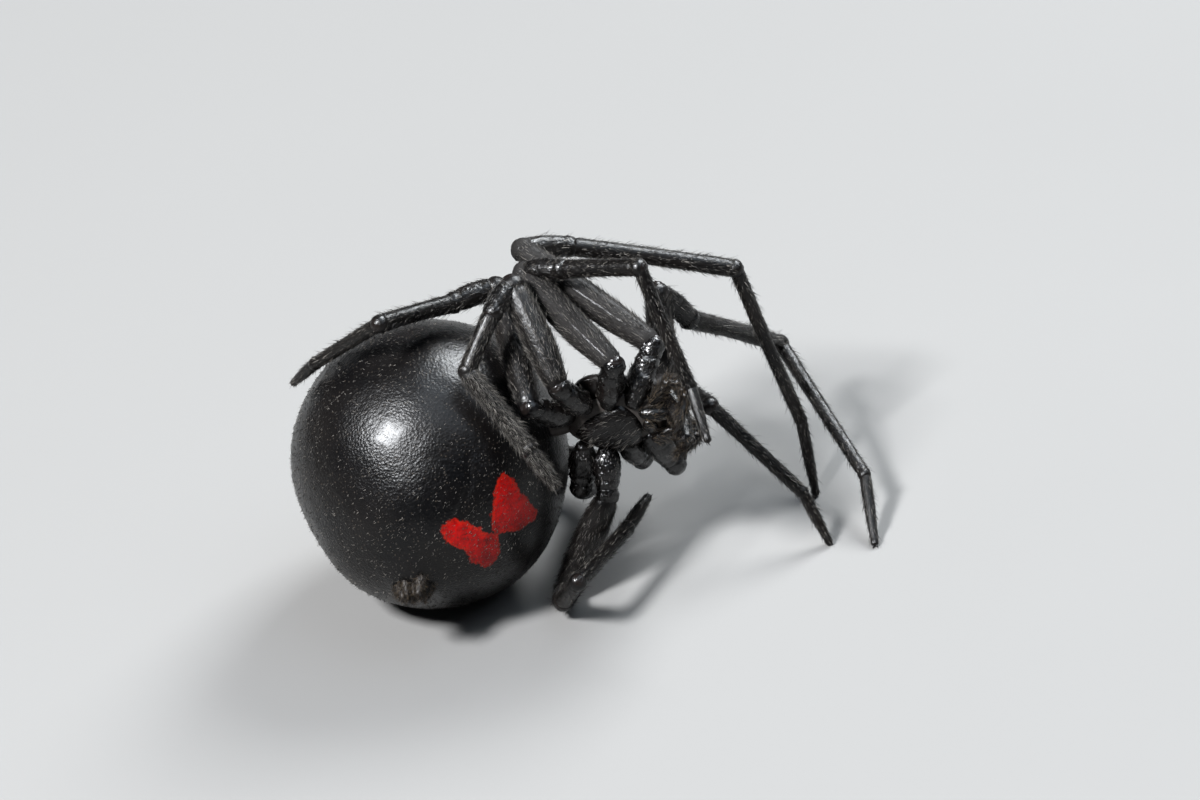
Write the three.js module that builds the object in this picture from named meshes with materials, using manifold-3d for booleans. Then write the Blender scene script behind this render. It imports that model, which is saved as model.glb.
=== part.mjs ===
// A female black widow spider at life size, lying on its left flank with its legs drawn in.
// Millimetres, Z up. The origin is where the abdomen rests on the floor, the head points along +X
// and the belly faces -Y.
import * as THREE from 'three';
import { mergeVertices } from 'three/addons/utils/BufferGeometryUtils.js';
import Module from 'manifold-3d';

// Driving sizes
const GAP = 0.2; // between neighbouring pieces
const LEFT = 1;
const RIGHT = -1;

// Abdomen: a globe that sags a little toward the belly and the floor
const ABDOMEN_CENTRE = new THREE.Vector3(0, 0, 4.66);
const ABDOMEN_RADIUS = 4.63;
const ABDOMEN_POSE = { heading: 17, climb: 26, roll: -86 };
const SAG = 0.09; // share of the radius that the sag adds
const SAG_TOWARD = new THREE.Vector3(-0.48, 0.33, -0.81).normalize();
const SAG_FROM = 0.3; // cosine of the angle where the sag begins

// The red hourglass on the belly: distance forward of its waist, half width there
const HOURGLASS_OUTLINE = [
  [1.65, 1.05], [0.5, 0.6], [0.1, 0.28], [-0.45, 1.0], [-0.95, 1.15], [-1.3, 0.5],
];
const HOURGLASS_DEPTH = 0.3;

// Spinnerets: how far behind the belly's middle they sit, in degrees, and their cones
const SPINNERET_BEHIND = 35;
const SPINNERET_MOUND = 0.75;
const SPINNERET_CONES = [
  { along: 0.42, across: 0.3, length: 0.62, radius: 0.24 },
  { along: -0.12, across: 0.34, length: 0.5, radius: 0.19 },
];
const ANAL_TUBERCLE = { along: -0.6, length: 0.42, radius: 0.26 };

// Cephalothorax: its frame starts at the waist, x forward, y to the spider's left, z toward its back
const WAIST = new THREE.Vector3(4.3, -1.45, 5.97);
const CEPHALOTHORAX_POSE = { heading: -12, climb: 10, roll: -78 };
const PEDICEL = { from: -0.6, to: 0.9, radius: 0.3 };

// Each station: distance forward of the waist, half width, height above the rim, depth below it
const CARAPACE_RIM = 0.05;
const CARAPACE = [
  [0.35, 0.75, 0.42, 0.1],
  [0.9, 1.4, 0.66, 0.14],
  [1.7, 1.85, 0.84, 0.16],
  [2.4, 1.62, 0.9, 0.16],
  [3.0, 1.2, 1.02, 0.16],
  [3.8, 0.98, 1.04, 0.16],
  [4.3, 0.9, 0.94, 0.16],
  [4.65, 0.76, 0.66, 0.14],
];
const FOVEA = { x: 1.75, depth: 0.14, reach: 0.4 };
const STERNUM_RIM = -0.5;
const STERNUM = [
  [0.75, 0.16, 0.2, 0.24],
  [1.3, 0.6, 0.24, 0.42],
  [2.0, 0.88, 0.25, 0.5],
  [2.6, 0.95, 0.25, 0.48],
  [3.1, 0.72, 0.22, 0.36],
];

// Eyes in two rows of four: distance forward and to either side
const EYE_RADIUS = 0.1;
const EYES = [[4.56, 0.15], [4.5, 0.44], [4.32, 0.17], [4.28, 0.5]];

// Mouthparts, for the left side; the right side mirrors them
const LABIUM = { centre: [3.38, 0, -0.86], half: [0.26, 0.3, 0.16] };
const MAXILLA = { centre: [3.72, 0.5, -0.82], half: [0.56, 0.25, 0.26], turn: -18 };
const CHELICERA = { root: [4.18, 0.44, -0.15], tip: [4.5, 0.4, -1.35], radii: [0.32, 0.34, 0.3, 0.2] };
const FANG = { tip: [4.28, 0.2, -1.62], radii: [0.12, 0.06] };

// Palps: segment lengths and radii, then the direction of each segment in the cephalothorax frame
const PALP_ROOT = [3.72, 0.76, -0.5];
const PALP_LENGTHS = [0.85, 0.4, 0.55, 0.95];
const PALP_RADII = [[0.2, 0.2], [0.19, 0.18], [0.18, 0.18], [0.17, 0.17, 0.12]];
const PALPS = {
  right: {
    side: RIGHT,
    ways: [[0.79, 0.47, 0.38], [0.94, -0.17, -0.25], [0.3, -0.3, -0.8], [-0.25, -0.05, -0.95]],
  },
  left: {
    side: LEFT,
    ways: [[0.6, 0.55, 0.6], [0.8, -0.1, -0.5], [0, -0.15, -1], [-0.5, -0.25, -0.85]],
  },
};

// Leg pairs from the front: where the coxa starts, then segment lengths
const PAIRS = [
  {
    root: [3.05, 0.85, -0.45],
    coxa: 2.05, femur: 5.8, patella: 1.85, tibia: 5.6, metatarsus: 6.2, tarsus: 2.5,
  },
  {
    root: [2.25, 1.1, -0.45],
    coxa: 1.7, femur: 4.7, patella: 1.5, tibia: 3.0, metatarsus: 4.3, tarsus: 1.9,
  },
  {
    root: [1.45, 1.1, -0.45],
    coxa: 1.6, femur: 3.8, patella: 1.25, tibia: 2.15, metatarsus: 3.3, tarsus: 1.5,
  },
  {
    root: [0.75, 0.8, -0.4],
    coxa: 1.75, femur: 4.9, patella: 1.6, tibia: 3.4, metatarsus: 3.8, tarsus: 1.6,
  },
];
const TROCHANTER_SHARE = 0.28; // of the coxa length above

// Radii along each segment
const RADII = {
  coxa: [0.42, 0.46, 0.38],
  trochanter: [0.38, 0.36],
  femur: [0.4, 0.53, 0.52, 0.42],
  patella: [0.41, 0.38],
  tibia: [0.35, 0.31, 0.32],
  metatarsus: [0.27, 0.24],
  tarsus: [0.23, 0.21, 0.13],
};
const SIDES = { coxa: 8, trochanter: 8, femur: 10, patella: 8, tibia: 8, metatarsus: 8, tarsus: 8 };

// The pose. A coxa swings forward and droops toward the belly; every other segment has a heading
// round from +X toward +Y and a climb above the floor. All are in degrees. A leg that stands on its
// tip or knee has that segment's climb worked out from the height where it touches the floor.
const TIP_HEIGHT = 0.1;
const KNEE_HEIGHT = 0.38;
const LEGS = {
  r1: {
    coxa: [47, -48], femur: [133, 20], patella: [22, -22],
    tibia: [-6, -18], metatarsus: [-33, -76], tarsus: [-89], stands: 'tarsus',
  },
  r2: {
    coxa: [26, -6], femur: [123, 22], patella: [-28, 12],
    tibia: [-32, 11], metatarsus: [-65, -59], tarsus: [-81, -41],
  },
  r3: {
    coxa: [-14, 13], femur: [109, 44], patella: [-131, -16],
    tibia: [-136, -39], metatarsus: [-47, -46], tarsus: [-44, -53],
  },
  r4: {
    coxa: [-30, 21], femur: [95, 23], patella: [-160, 2],
    tibia: [-141, 19], metatarsus: [143, -38], tarsus: [136, -45],
  },
  l1: {
    coxa: [6, -10], femur: [82, 59], patella: [19, -58],
    tibia: [46, -42], metatarsus: [-71, -19], tarsus: [-93], stands: 'tarsus',
  },
  l2: {
    coxa: [-5, -26], femur: [79, -4], patella: [-60, 27],
    tibia: [-70, 14], metatarsus: [-29, -48], tarsus: [-53], stands: 'tarsus',
  },
  l3: {
    coxa: [-17, 34], femur: [-168], patella: [-96, 23],
    tibia: [-64, 48], metatarsus: [54, -2], tarsus: [56, 7], stands: 'femur',
  },
  l4: {
    coxa: [-22, 11], femur: [81, -26], patella: [139, -4],
    tibia: [148, -3], metatarsus: [167, -3], tarsus: [170], stands: 'tarsus',
  },
};

// Colours
const BLACK_GLOSS = new THREE.MeshStandardMaterial({ color: 0x0b0b0d, roughness: 0.25, metalness: 0 });
const BLACK_SATIN = new THREE.MeshStandardMaterial({ color: 0x141417, roughness: 0.4, metalness: 0 });
const BROWN_BLACK = new THREE.MeshStandardMaterial({ color: 0x1d1613, roughness: 0.35, metalness: 0 });
const RED = new THREE.MeshStandardMaterial({ color: 0xb3160f, roughness: 0.5, metalness: 0 });

const wasm = await Module();
wasm.setup();

function vector(numbers) {
  return new THREE.Vector3(...numbers);
}

// A body frame that heads, climbs and then rolls about its own length
function bodyFrame(pose, origin) {
  const [heading, climb, roll] = [pose.heading, pose.climb, pose.roll].map(THREE.MathUtils.degToRad);
  const forward = new THREE.Vector3(
    Math.cos(heading) * Math.cos(climb),
    Math.sin(heading) * Math.cos(climb),
    Math.sin(climb),
  );
  const level = new THREE.Vector3(-Math.sin(heading), Math.cos(heading), 0);
  const above = forward.clone().cross(level);
  const left = level.multiplyScalar(Math.cos(roll)).addScaledVector(above, Math.sin(roll));
  const back = forward.clone().cross(left);
  return new THREE.Matrix4().makeBasis(forward, left, back).setPosition(origin);
}

const ABDOMEN_FRAME = bodyFrame(ABDOMEN_POSE, ABDOMEN_CENTRE);
const CEPHALOTHORAX_FRAME = bodyFrame(CEPHALOTHORAX_POSE, WAIST);

// The direction with a heading and a climb, both in degrees
function direction(heading, climb) {
  const [h, c] = [heading, climb].map(THREE.MathUtils.degToRad);
  return new THREE.Vector3(Math.cos(h) * Math.cos(c), Math.sin(h) * Math.cos(c), Math.sin(c));
}

function welded(geometry) {
  const bare = geometry.clone();
  bare.deleteAttribute('normal');
  bare.deleteAttribute('uv');
  return mergeVertices(bare, 1e-4);
}

function solidOf(geometry) {
  const closed = welded(geometry);
  const corners = [];
  for (let i = 0; i < closed.index.count; i += 3) {
    const [a, b, c] = [0, 1, 2].map((k) => closed.index.getX(i + k));
    if (a !== b && b !== c && c !== a) corners.push(a, b, c);
  }
  return new wasm.Manifold(new wasm.Mesh({
    numProp: 3,
    vertProperties: new Float32Array(closed.attributes.position.array),
    triVerts: new Uint32Array(corners),
  }));
}

// The same surface moved outward along its normals
function grown(geometry, distance) {
  const shape = welded(geometry);
  shape.computeVertexNormals();
  const { position, normal } = shape.attributes;
  for (let i = 0; i < position.count; i++) {
    position.setXYZ(
      i,
      position.getX(i) + distance * normal.getX(i),
      position.getY(i) + distance * normal.getY(i),
      position.getZ(i) + distance * normal.getZ(i),
    );
  }
  return shape;
}

function joined(solids) {
  return solids.reduce((whole, next) => whole.add(next));
}

function largest(solid) {
  return solid.decompose().sort((a, b) => b.volume() - a.volume())[0];
}

function boxesMeet(a, b) {
  return [0, 1, 2].every((k) => a.min[k] < b.max[k] && b.min[k] < a.max[k]);
}

// Moves every vertex of a shape by a function of its place
function reshaped(geometry, place) {
  const { position } = geometry.attributes;
  for (let i = 0; i < position.count; i++) {
    const p = place(new THREE.Vector3().fromBufferAttribute(position, i));
    position.setXYZ(i, p.x, p.y, p.z);
  }
  return geometry;
}

// A turned limb segment between two joints, with rounded ends
const END_REACH = 0.8; // of the end radius
function spindle(from, to, radii, sides) {
  const length = from.distanceTo(to);
  const [first, last] = [radii[0], radii.at(-1)];
  const profile = [[0, -END_REACH * first], [0.74 * first, -0.5 * first]];
  radii.forEach((radius, i) => profile.push([radius, (length * i) / (radii.length - 1)]));
  profile.push([0.74 * last, length + 0.5 * last], [0, length + END_REACH * last]);
  const shape = new THREE.LatheGeometry(profile.map(([r, y]) => new THREE.Vector2(r, y)), sides);
  const way = to.clone().sub(from).normalize();
  shape.applyQuaternion(new THREE.Quaternion().setFromUnitVectors(new THREE.Vector3(0, 1, 0), way));
  return shape.translate(from.x, from.y, from.z);
}

// The station values at a distance along the body, eased from each station to the next
function stationAt(stations, x) {
  const after = Math.min(Math.max(stations.findIndex((s) => s[0] > x), 1), stations.length - 1);
  const [low, high] = [stations[after - 1], stations[after]];
  const share = x >= high[0] ? 1 : THREE.MathUtils.clamp((x - low[0]) / (high[0] - low[0]), 0, 1);
  return [1, 2, 3].map((k) => THREE.MathUtils.lerp(low[k], high[k], share));
}

// How much of its station size a shell has at x, so that both ends close in a blunt round
const BLUNTNESS = 6;
function endRound(stations, x) {
  const [start, end] = [stations[0][0], stations.at(-1)[0]];
  const share = (2 * (x - start)) / (end - start) - 1;
  return Math.sqrt(Math.max(0, 1 - Math.abs(share) ** BLUNTNESS));
}

// A closed shell through stations, oval in section, with its poles on the body's length
function stationShell(stations, rim, sides, rings) {
  const [start, end] = [stations[0][0], stations.at(-1)[0]];
  const ball = new THREE.SphereGeometry(1, sides, rings).rotateZ(-Math.PI / 2);
  return reshaped(ball, (p) => {
    const x = (start + end) / 2 + (p.x * (end - start)) / 2;
    const round = Math.hypot(p.y, p.z) || 1;
    const [width, top, bottom] = stationAt(stations, x).map((size) => size * endRound(stations, x));
    return new THREE.Vector3(x, (width * p.y) / round, rim + ((p.z > 0 ? top : bottom) * p.z) / round);
  });
}

function carapaceRoof(x, y) {
  const [width, top] = stationAt(CARAPACE, x).map((size) => size * endRound(CARAPACE, x));
  return CARAPACE_RIM + top * Math.sqrt(Math.max(0, 1 - (y / width) ** 2));
}

// Distance from the abdomen's centre to its skin in a direction of its own frame
function abdomenReach(way) {
  const share = Math.max(0, (way.dot(SAG_TOWARD) - SAG_FROM) / (1 - SAG_FROM));
  return ABDOMEN_RADIUS * (1 + SAG * THREE.MathUtils.smoothstep(share, 0, 1));
}

function abdomenSkin(inset) {
  const ball = new THREE.SphereGeometry(1, 28, 18);
  return reshaped(ball, (p) => {
    const way = p.clone().normalize();
    return way.multiplyScalar(abdomenReach(way) - inset);
  }).applyMatrix4(ABDOMEN_FRAME);
}

// The hourglass outline pushed through the belly, moved outward by a margin
function hourglassPrism(margin) {
  const left = HOURGLASS_OUTLINE.map(([x, half]) => new THREE.Vector2(x, half));
  const right = HOURGLASS_OUTLINE.map(([x, half]) => new THREE.Vector2(x, -half)).reverse();
  const outline = [...left, ...right];
  const outwardOf = (a, b) => new THREE.Vector2(b.y - a.y, a.x - b.x).normalize();
  const moved = outline.map((corner, i) => {
    const before = outwardOf(outline.at(i - 1), corner);
    const after = outwardOf(corner, outline[(i + 1) % outline.length]);
    const outward = before.clone().add(after).normalize();
    return corner.clone().addScaledVector(outward, margin / outward.dot(after));
  });
  const shape = new THREE.Shape(moved);
  const prism = new THREE.ExtrudeGeometry(shape, { depth: 2.5, bevelEnabled: false });
  return prism.translate(0, 0, -ABDOMEN_RADIUS - 1.2).applyMatrix4(ABDOMEN_FRAME);
}

const model = new THREE.Group();
const finished = [];

function addMesh(name, solid, material) {
  const mesh = solid.getMesh();
  const box = solid.boundingBox();
  const middle = new THREE.Vector3(...box.min).add(new THREE.Vector3(...box.max)).multiplyScalar(0.5);
  const geometry = new THREE.BufferGeometry();
  geometry.setAttribute('position', new THREE.BufferAttribute(mesh.vertProperties, 3));
  geometry.setIndex(new THREE.BufferAttribute(mesh.triVerts, 1));
  geometry.translate(-middle.x, -middle.y, -middle.z);
  geometry.computeVertexNormals();
  const piece = new THREE.Mesh(geometry, material);
  piece.name = name;
  piece.position.copy(middle);
  model.add(piece);
}

// Joins the shapes of one piece, cuts it clear of every finished neighbour and of the floor, and
// keeps the room that later neighbours must leave it
const SMALLEST_FEATURE = 0.01;
function addPiece(name, shapes, material) {
  const whole = joined(shapes.map(solidOf));
  const box = whole.boundingBox();
  const near = finished.filter((room) => boxesMeet(room.boundingBox(), box));
  const clear = near.reduce((rest, room) => rest.subtract(room), whole);
  addMesh(name, largest(clear.trimByPlane([0, 0, 1], 0).simplify(SMALLEST_FEATURE)), material);
  finished.push(joined(shapes.map((shape) => solidOf(grown(shape, GAP)))));
}

function inCephalothorax(numbers, side = LEFT) {
  const [x, y, z] = numbers;
  return new THREE.Vector3(x, side * y, z).applyMatrix4(CEPHALOTHORAX_FRAME);
}

// Abdomen with its hourglass, spinnerets and the waist it hangs on
function addAbdomen() {
  const way = new THREE.Vector3().setFromMatrixColumn(CEPHALOTHORAX_FRAME, 0);
  const pedicelEnds = [PEDICEL.from, PEDICEL.to].map((at) => WAIST.clone().addScaledVector(way, at));
  const pedicel = spindle(...pedicelEnds, [PEDICEL.radius, PEDICEL.radius], 10);
  addPiece('pedicel', [pedicel], BROWN_BLACK);

  const prism = solidOf(hourglassPrism(0));
  const skin = solidOf(abdomenSkin(0));
  const plate = skin.subtract(solidOf(abdomenSkin(HOURGLASS_DEPTH))).intersect(prism);
  addMesh('hourglass', largest(plate), RED);
  const pocket = solidOf(hourglassPrism(GAP)).subtract(solidOf(abdomenSkin(HOURGLASS_DEPTH + GAP)));
  const body = skin.subtract(finished[0]).subtract(pocket).trimByPlane([0, 0, 1], 0);
  addMesh('abdomen', largest(body.simplify(SMALLEST_FEATURE)), BLACK_SATIN);
  finished.push(solidOf(abdomenSkin(-GAP)));
}

function spinneretCone(frame, along, across, length, radius) {
  const root = new THREE.Vector3(along, across, -0.3).applyMatrix4(frame);
  const tip = new THREE.Vector3(along * 0.7, across * 0.6, length).applyMatrix4(frame);
  return spindle(root, tip, [radius, radius * 0.55], 6);
}

function addSpinnerets() {
  const behind = THREE.MathUtils.degToRad(SPINNERET_BEHIND);
  const way = new THREE.Vector3(-Math.sin(behind), 0, -Math.cos(behind));
  const forward = new THREE.Vector3(Math.cos(behind), 0, -Math.sin(behind));
  const seat = new THREE.Matrix4().makeBasis(forward, way.clone().cross(forward), way);
  seat.setPosition(way.clone().multiplyScalar(abdomenReach(way))).premultiply(ABDOMEN_FRAME);
  const mound = new THREE.SphereGeometry(SPINNERET_MOUND, 10, 6).scale(1.2, 1, 0.55).applyMatrix4(seat);
  const cones = SPINNERET_CONES.flatMap(({ along, across, length, radius }) =>
    [LEFT, RIGHT].map((side) => spinneretCone(seat, along, side * across, length, radius)));
  const tubercle = spinneretCone(seat, ANAL_TUBERCLE.along, 0, ANAL_TUBERCLE.length, ANAL_TUBERCLE.radius);
  addPiece('spinnerets', [mound, ...cones, tubercle], BROWN_BLACK);
}

// Carapace with its eyes, and the sternum under it
function addCephalothorax() {
  const shell = stationShell(CARAPACE, CARAPACE_RIM, 20, 14);
  reshaped(shell, (p) => {
    const away = Math.hypot(p.x - FOVEA.x, p.y);
    if (p.z > 0) p.z -= FOVEA.depth * Math.max(0, 1 - away / FOVEA.reach);
    return p;
  });
  const eyes = EYES.flatMap(([x, y]) => [LEFT, RIGHT].map((side) =>
    new THREE.SphereGeometry(EYE_RADIUS, 6, 4).translate(x, side * y, carapaceRoof(x, y))));
  const parts = [shell, ...eyes].map((shape) => shape.applyMatrix4(CEPHALOTHORAX_FRAME));
  addPiece('carapace', parts, BLACK_GLOSS);
  const sternum = stationShell(STERNUM, STERNUM_RIM, 14, 8).applyMatrix4(CEPHALOTHORAX_FRAME);
  addPiece('sternum', [sternum], BLACK_SATIN);
}

function ellipsoid({ centre, half, turn = 0 }, side) {
  const ball = new THREE.SphereGeometry(1, 10, 6).scale(...half);
  ball.rotateZ(side * THREE.MathUtils.degToRad(turn)).translate(centre[0], side * centre[1], centre[2]);
  return ball.applyMatrix4(CEPHALOTHORAX_FRAME);
}

function addMouthparts() {
  addPiece('labium', [ellipsoid(LABIUM, LEFT)], BROWN_BLACK);
  for (const [word, side] of [['right', RIGHT], ['left', LEFT]]) {
    addPiece(`maxilla_${word}`, [ellipsoid(MAXILLA, side)], BROWN_BLACK);
  }
  for (const [word, side] of [['right', RIGHT], ['left', LEFT]]) {
    const [root, tip] = [CHELICERA.root, CHELICERA.tip].map((at) => inCephalothorax(at, side));
    const blade = spindle(root, tip, CHELICERA.radii, 8);
    const fang = spindle(tip, inCephalothorax(FANG.tip, side), FANG.radii, 5);
    addPiece(`chelicera_${word}`, [blade, fang], BLACK_GLOSS);
  }
}

// One palp in two pieces, parted at its bend
function addPalp(word) {
  const { side, ways } = PALPS[word];
  const joints = [inCephalothorax(PALP_ROOT, side)];
  ways.forEach((way, i) => {
    const [x, y, z] = way;
    const step = new THREE.Vector3(x, side * y, z).normalize().transformDirection(CEPHALOTHORAX_FRAME);
    joints.push(joints[i].clone().addScaledVector(step, PALP_LENGTHS[i]));
  });
  const segments = PALP_RADII.map((radii, i) => spindle(joints[i], joints[i + 1], radii, 6));
  addPiece(`palp_${word}_femur`, segments.slice(0, 2), BLACK_SATIN);
  addPiece(`palp_${word}_tarsus`, segments.slice(2), BLACK_SATIN);
}

// The joints of a leg from the coxa's root to the tip
function legJoints(name) {
  const leg = LEGS[name];
  const side = name[0] === 'l' ? LEFT : RIGHT;
  const pair = PAIRS[Number(name[1]) - 1];
  const [swing, droop] = leg.coxa.map(THREE.MathUtils.degToRad);
  const out = new THREE.Vector3(
    Math.sin(swing) * Math.cos(droop),
    side * Math.cos(swing) * Math.cos(droop),
    -Math.sin(droop),
  ).transformDirection(CEPHALOTHORAX_FRAME);
  const root = inCephalothorax(pair.root, side);
  const joints = { root };
  joints.coxa = root.clone().addScaledVector(out, pair.coxa * (1 - TROCHANTER_SHARE));
  joints.trochanter = root.clone().addScaledVector(out, pair.coxa);
  let last = joints.trochanter;
  for (const segment of ['femur', 'patella', 'tibia', 'metatarsus', 'tarsus']) {
    let [heading, climb] = leg[segment];
    if (segment === leg.stands) {
      const height = segment === 'tarsus' ? TIP_HEIGHT : KNEE_HEIGHT;
      climb = THREE.MathUtils.radToDeg(Math.asin((height - last.z) / pair[segment]));
    }
    last = last.clone().addScaledVector(direction(heading, climb), pair[segment]);
    joints[segment] = last;
  }
  return joints;
}

const LEG_PIECES = [
  ['coxa', [['root', 'coxa'], ['coxa', 'trochanter']]],
  ['femur', [['trochanter', 'femur']]],
  ['tibia', [['femur', 'patella'], ['patella', 'tibia']]],
  ['metatarsus', [['tibia', 'metatarsus'], ['metatarsus', 'tarsus']]],
];

function addLegPieces([piece, segments]) {
  for (const name of Object.keys(LEGS)) {
    const joints = legJoints(name);
    const shapes = segments.map(([from, to]) => spindle(joints[from], joints[to], RADII[to], SIDES[to]));
    addPiece(`leg_${name}_${piece}`, shapes, piece === 'coxa' ? BLACK_GLOSS : BLACK_SATIN);
  }
}

addAbdomen();
addSpinnerets();
addCephalothorax();
addMouthparts();
LEG_PIECES.forEach(addLegPieces);
addPalp('right');
addPalp('left');

export default model;
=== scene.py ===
"""Skin, shell plates, bristles and studio for a life-size figure of a female black widow spider.

Sizes are millimetres unless a line says otherwise. A mesh is made metres when it becomes an object.
"""
import math

import bpy
import numpy as np
from mathutils import Matrix, Vector, noise


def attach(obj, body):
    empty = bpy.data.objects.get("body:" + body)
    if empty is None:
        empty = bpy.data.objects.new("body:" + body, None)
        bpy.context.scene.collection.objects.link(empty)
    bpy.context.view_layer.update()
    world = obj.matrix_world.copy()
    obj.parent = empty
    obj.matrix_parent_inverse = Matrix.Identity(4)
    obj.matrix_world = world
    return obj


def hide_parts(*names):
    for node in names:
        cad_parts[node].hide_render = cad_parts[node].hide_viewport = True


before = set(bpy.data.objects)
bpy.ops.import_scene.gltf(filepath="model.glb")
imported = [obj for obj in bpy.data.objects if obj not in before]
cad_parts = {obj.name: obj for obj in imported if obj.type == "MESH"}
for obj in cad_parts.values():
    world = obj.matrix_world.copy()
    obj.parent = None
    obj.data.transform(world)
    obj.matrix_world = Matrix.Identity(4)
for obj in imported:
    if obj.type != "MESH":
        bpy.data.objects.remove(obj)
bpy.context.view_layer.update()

bl_info = {
    "name": "Black Widow Figure",
    "version": (1, 0, 0),
    "blender": (4, 5, 0),
    "location": "3D View > Sidebar > Figure",
    "description": "Builds a life-size spider figure around its packed solids, and a plain studio",
    "category": "Add Mesh",
}

MM = 0.001
LEFT, RIGHT = 1, -1
FLANKS = (("right", RIGHT), ("left", LEFT))

# Abdomen, in its own frame of forward, left and back
ABDOMEN_CENTRE = np.array([0.0, 0.0, 4.66])
ABDOMEN_RADIUS = 4.63
ABDOMEN_POSE = (17, 26, -86)  # heading, climb and roll in degrees
ABDOMEN_ROWS, ABDOMEN_COLUMNS = 190, 280
# It sags behind and below by a share of its radius, starting this near to that direction
SAG, SAG_FROM = 0.09, 0.3
SAG_TOWARD = np.array([-0.48, 0.33, -0.81]) / math.sqrt(0.48**2 + 0.33**2 + 0.81**2)
# Its dimples: how many to the radius, a shift of the pattern and the depth
DIMPLES = ((2.6, 0.0, 0.035), (9.0, 4.0, 0.012))

# The two red marks that make the hourglass: forward and left of the belly's middle
MARKS = (
    ((1.68, -1.17), (1.74, -0.71), (1.65, -0.17), (1.64, 0.41), (1.68, 0.93), (1.41, 1.03), (0.93, 0.7),
     (0.54, 0.41), (0.19, -0.02), (0.25, -0.4), (0.67, -0.77), (1.03, -1.06), (1.36, -1.21)),
    ((-1.08, -1.38), (-0.82, -1.49), (-0.51, -1.41), (-0.29, -1.02), (-0.08, -0.62), (-0.05, -0.2),
     (0.17, 0.13), (-0.02, 0.52), (-0.34, 0.91), (-0.89, 0.91), (-1.03, 0.31), (-0.94, -0.21),
     (-1.05, -0.58), (-1.2, -0.97)),
)
BELLY_FOLD = ((1.18, -2.34), (0.68, -1.86), (-0.46, -1.44))
FOLD_DEPTH, FOLD_WIDTH = 0.05, 0.1

SPINNERET_BEHIND = math.radians(35)
SPINNERET_WAY = np.array([-math.sin(SPINNERET_BEHIND), 0, -math.cos(SPINNERET_BEHIND)])
# The mound that carries the spinnerets: its height, its reach, and the share of its height that they sit at
SPINNERET_MOUND, MOUND_REACH, MOUND_SEAT = 0.36, 0.8, 0.6
# Each pair of cones: how far forward, to the side, how long and how thick
SPINNERET_CONES = ((0.38, 0.26, 0.42, 0.2), (0.02, 0.16, 0.32, 0.12), (-0.26, 0.3, 0.36, 0.17))
ANAL_TUBERCLE = (-0.6, 0.0, 0.3, 0.26)
CONE_ROOT = -0.3
CONE_LEAN = (0.7, 0.6)  # how far forward and to the side the tip is, against the root
CONE_TAPER = (1, 0.95, 0.6)

# Cephalothorax, in its own frame from the waist
WAIST = np.array([4.3, -1.45, 5.97])
CEPHALOTHORAX_POSE = (-12, 10, -78)
PEDICEL_ENDS, PEDICEL_RADIUS = (-0.6, 0.9), 0.3
PEDICEL_WAVES, PEDICEL_ROUGH = (1.05, 0.95, 1.0, 0.9, 1.05), 0.03
BLUNTNESS = 6  # of the ends of the shells
# Stations of a shell: how far forward, half its width, its height above the rim and its depth below it
CARAPACE_RIM = 0.05
CARAPACE = (
    (0.35, 0.75, 0.42, 0.1),
    (0.9, 1.4, 0.66, 0.14),
    (1.7, 1.85, 0.84, 0.16),
    (2.4, 1.62, 0.9, 0.16),
    (3.0, 1.2, 1.02, 0.16),
    (3.8, 0.98, 1.04, 0.16),
    (4.3, 0.9, 0.94, 0.16),
    (4.65, 0.76, 0.66, 0.14),
)
FOVEA_AT, FOVEA_DEPTH, FOVEA_RADIUS = 1.75, 0.14, 0.52
FURROWS = (38, 75, 108, 140)  # degrees from straight ahead, round the pit
FURROW_WIDTH, FURROW_DEPTH = 0.09, 0.045
FURROW_START, FURROW_RISE, FURROW_END, FURROW_FALL = 0.2, 0.4, 1.5, 0.6  # from the pit outward
STERNUM_RIM, STERNUM_GLOSS = -0.5, 0.25
STERNUM = (
    (0.75, 0.16, 0.2, 0.24),
    (1.3, 0.6, 0.24, 0.42),
    (2.0, 0.88, 0.25, 0.5),
    (2.6, 0.95, 0.25, 0.48),
    (3.1, 0.72, 0.22, 0.36),
)
# Soft skin between the carapace, the coxae and the sternum
SIDES_RIM = -0.3
SIDES = (
    (0.5, 0.45, 0.3, 0.2),
    (1.2, 1.0, 0.34, 0.34),
    (2.0, 1.2, 0.36, 0.42),
    (2.7, 1.15, 0.36, 0.4),
    (3.4, 0.85, 0.34, 0.34),
    (3.95, 0.45, 0.3, 0.2),
)
EYE_RADIUS, EYE_SINK = 0.1, 0.01
EYES = ((4.56, 0.15), (4.5, 0.44), (4.32, 0.17), (4.28, 0.5))
# Lobes: the middle, half the length, width and depth, and the turn in degrees
LABIUM = ((3.38, 0, -0.86), (0.26, 0.3, 0.16), 0)
MAXILLA = ((3.72, 0.5, -0.82), (0.56, 0.25, 0.26), -18)
MOUTH_GLOSS = 0.4
CHELICERA_ROOT, CHELICERA_TIP = (4.18, 0.44, -0.15), (4.5, 0.4, -1.35)
CHELICERA_RADII, CHELICERA_ROUGH = (0.32, 0.34, 0.3, 0.2), 0.05
FANG_TIP, FANG_RADII, FANG_BOW = (4.28, 0.2, -1.62), (0.12, 0.06, 0.02), 0.12

PALP_ROOT = (3.72, 0.76, -0.5)
PALP_LENGTHS = (0.85, 0.4, 0.55, 0.95)
PALP_RADII = ((0.2, 0.2), (0.19, 0.18), (0.18, 0.18), (0.17, 0.17, 0.12))
PALP_NECK = 0.15
PALP_WAYS = {
    "right": ((0.79, 0.47, 0.38), (0.94, -0.17, -0.25), (0.3, -0.3, -0.8), (-0.25, -0.05, -0.95)),
    "left": ((0.6, 0.55, 0.6), (0.8, -0.1, -0.5), (0, -0.15, -1), (-0.5, -0.25, -0.85)),
}

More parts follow.
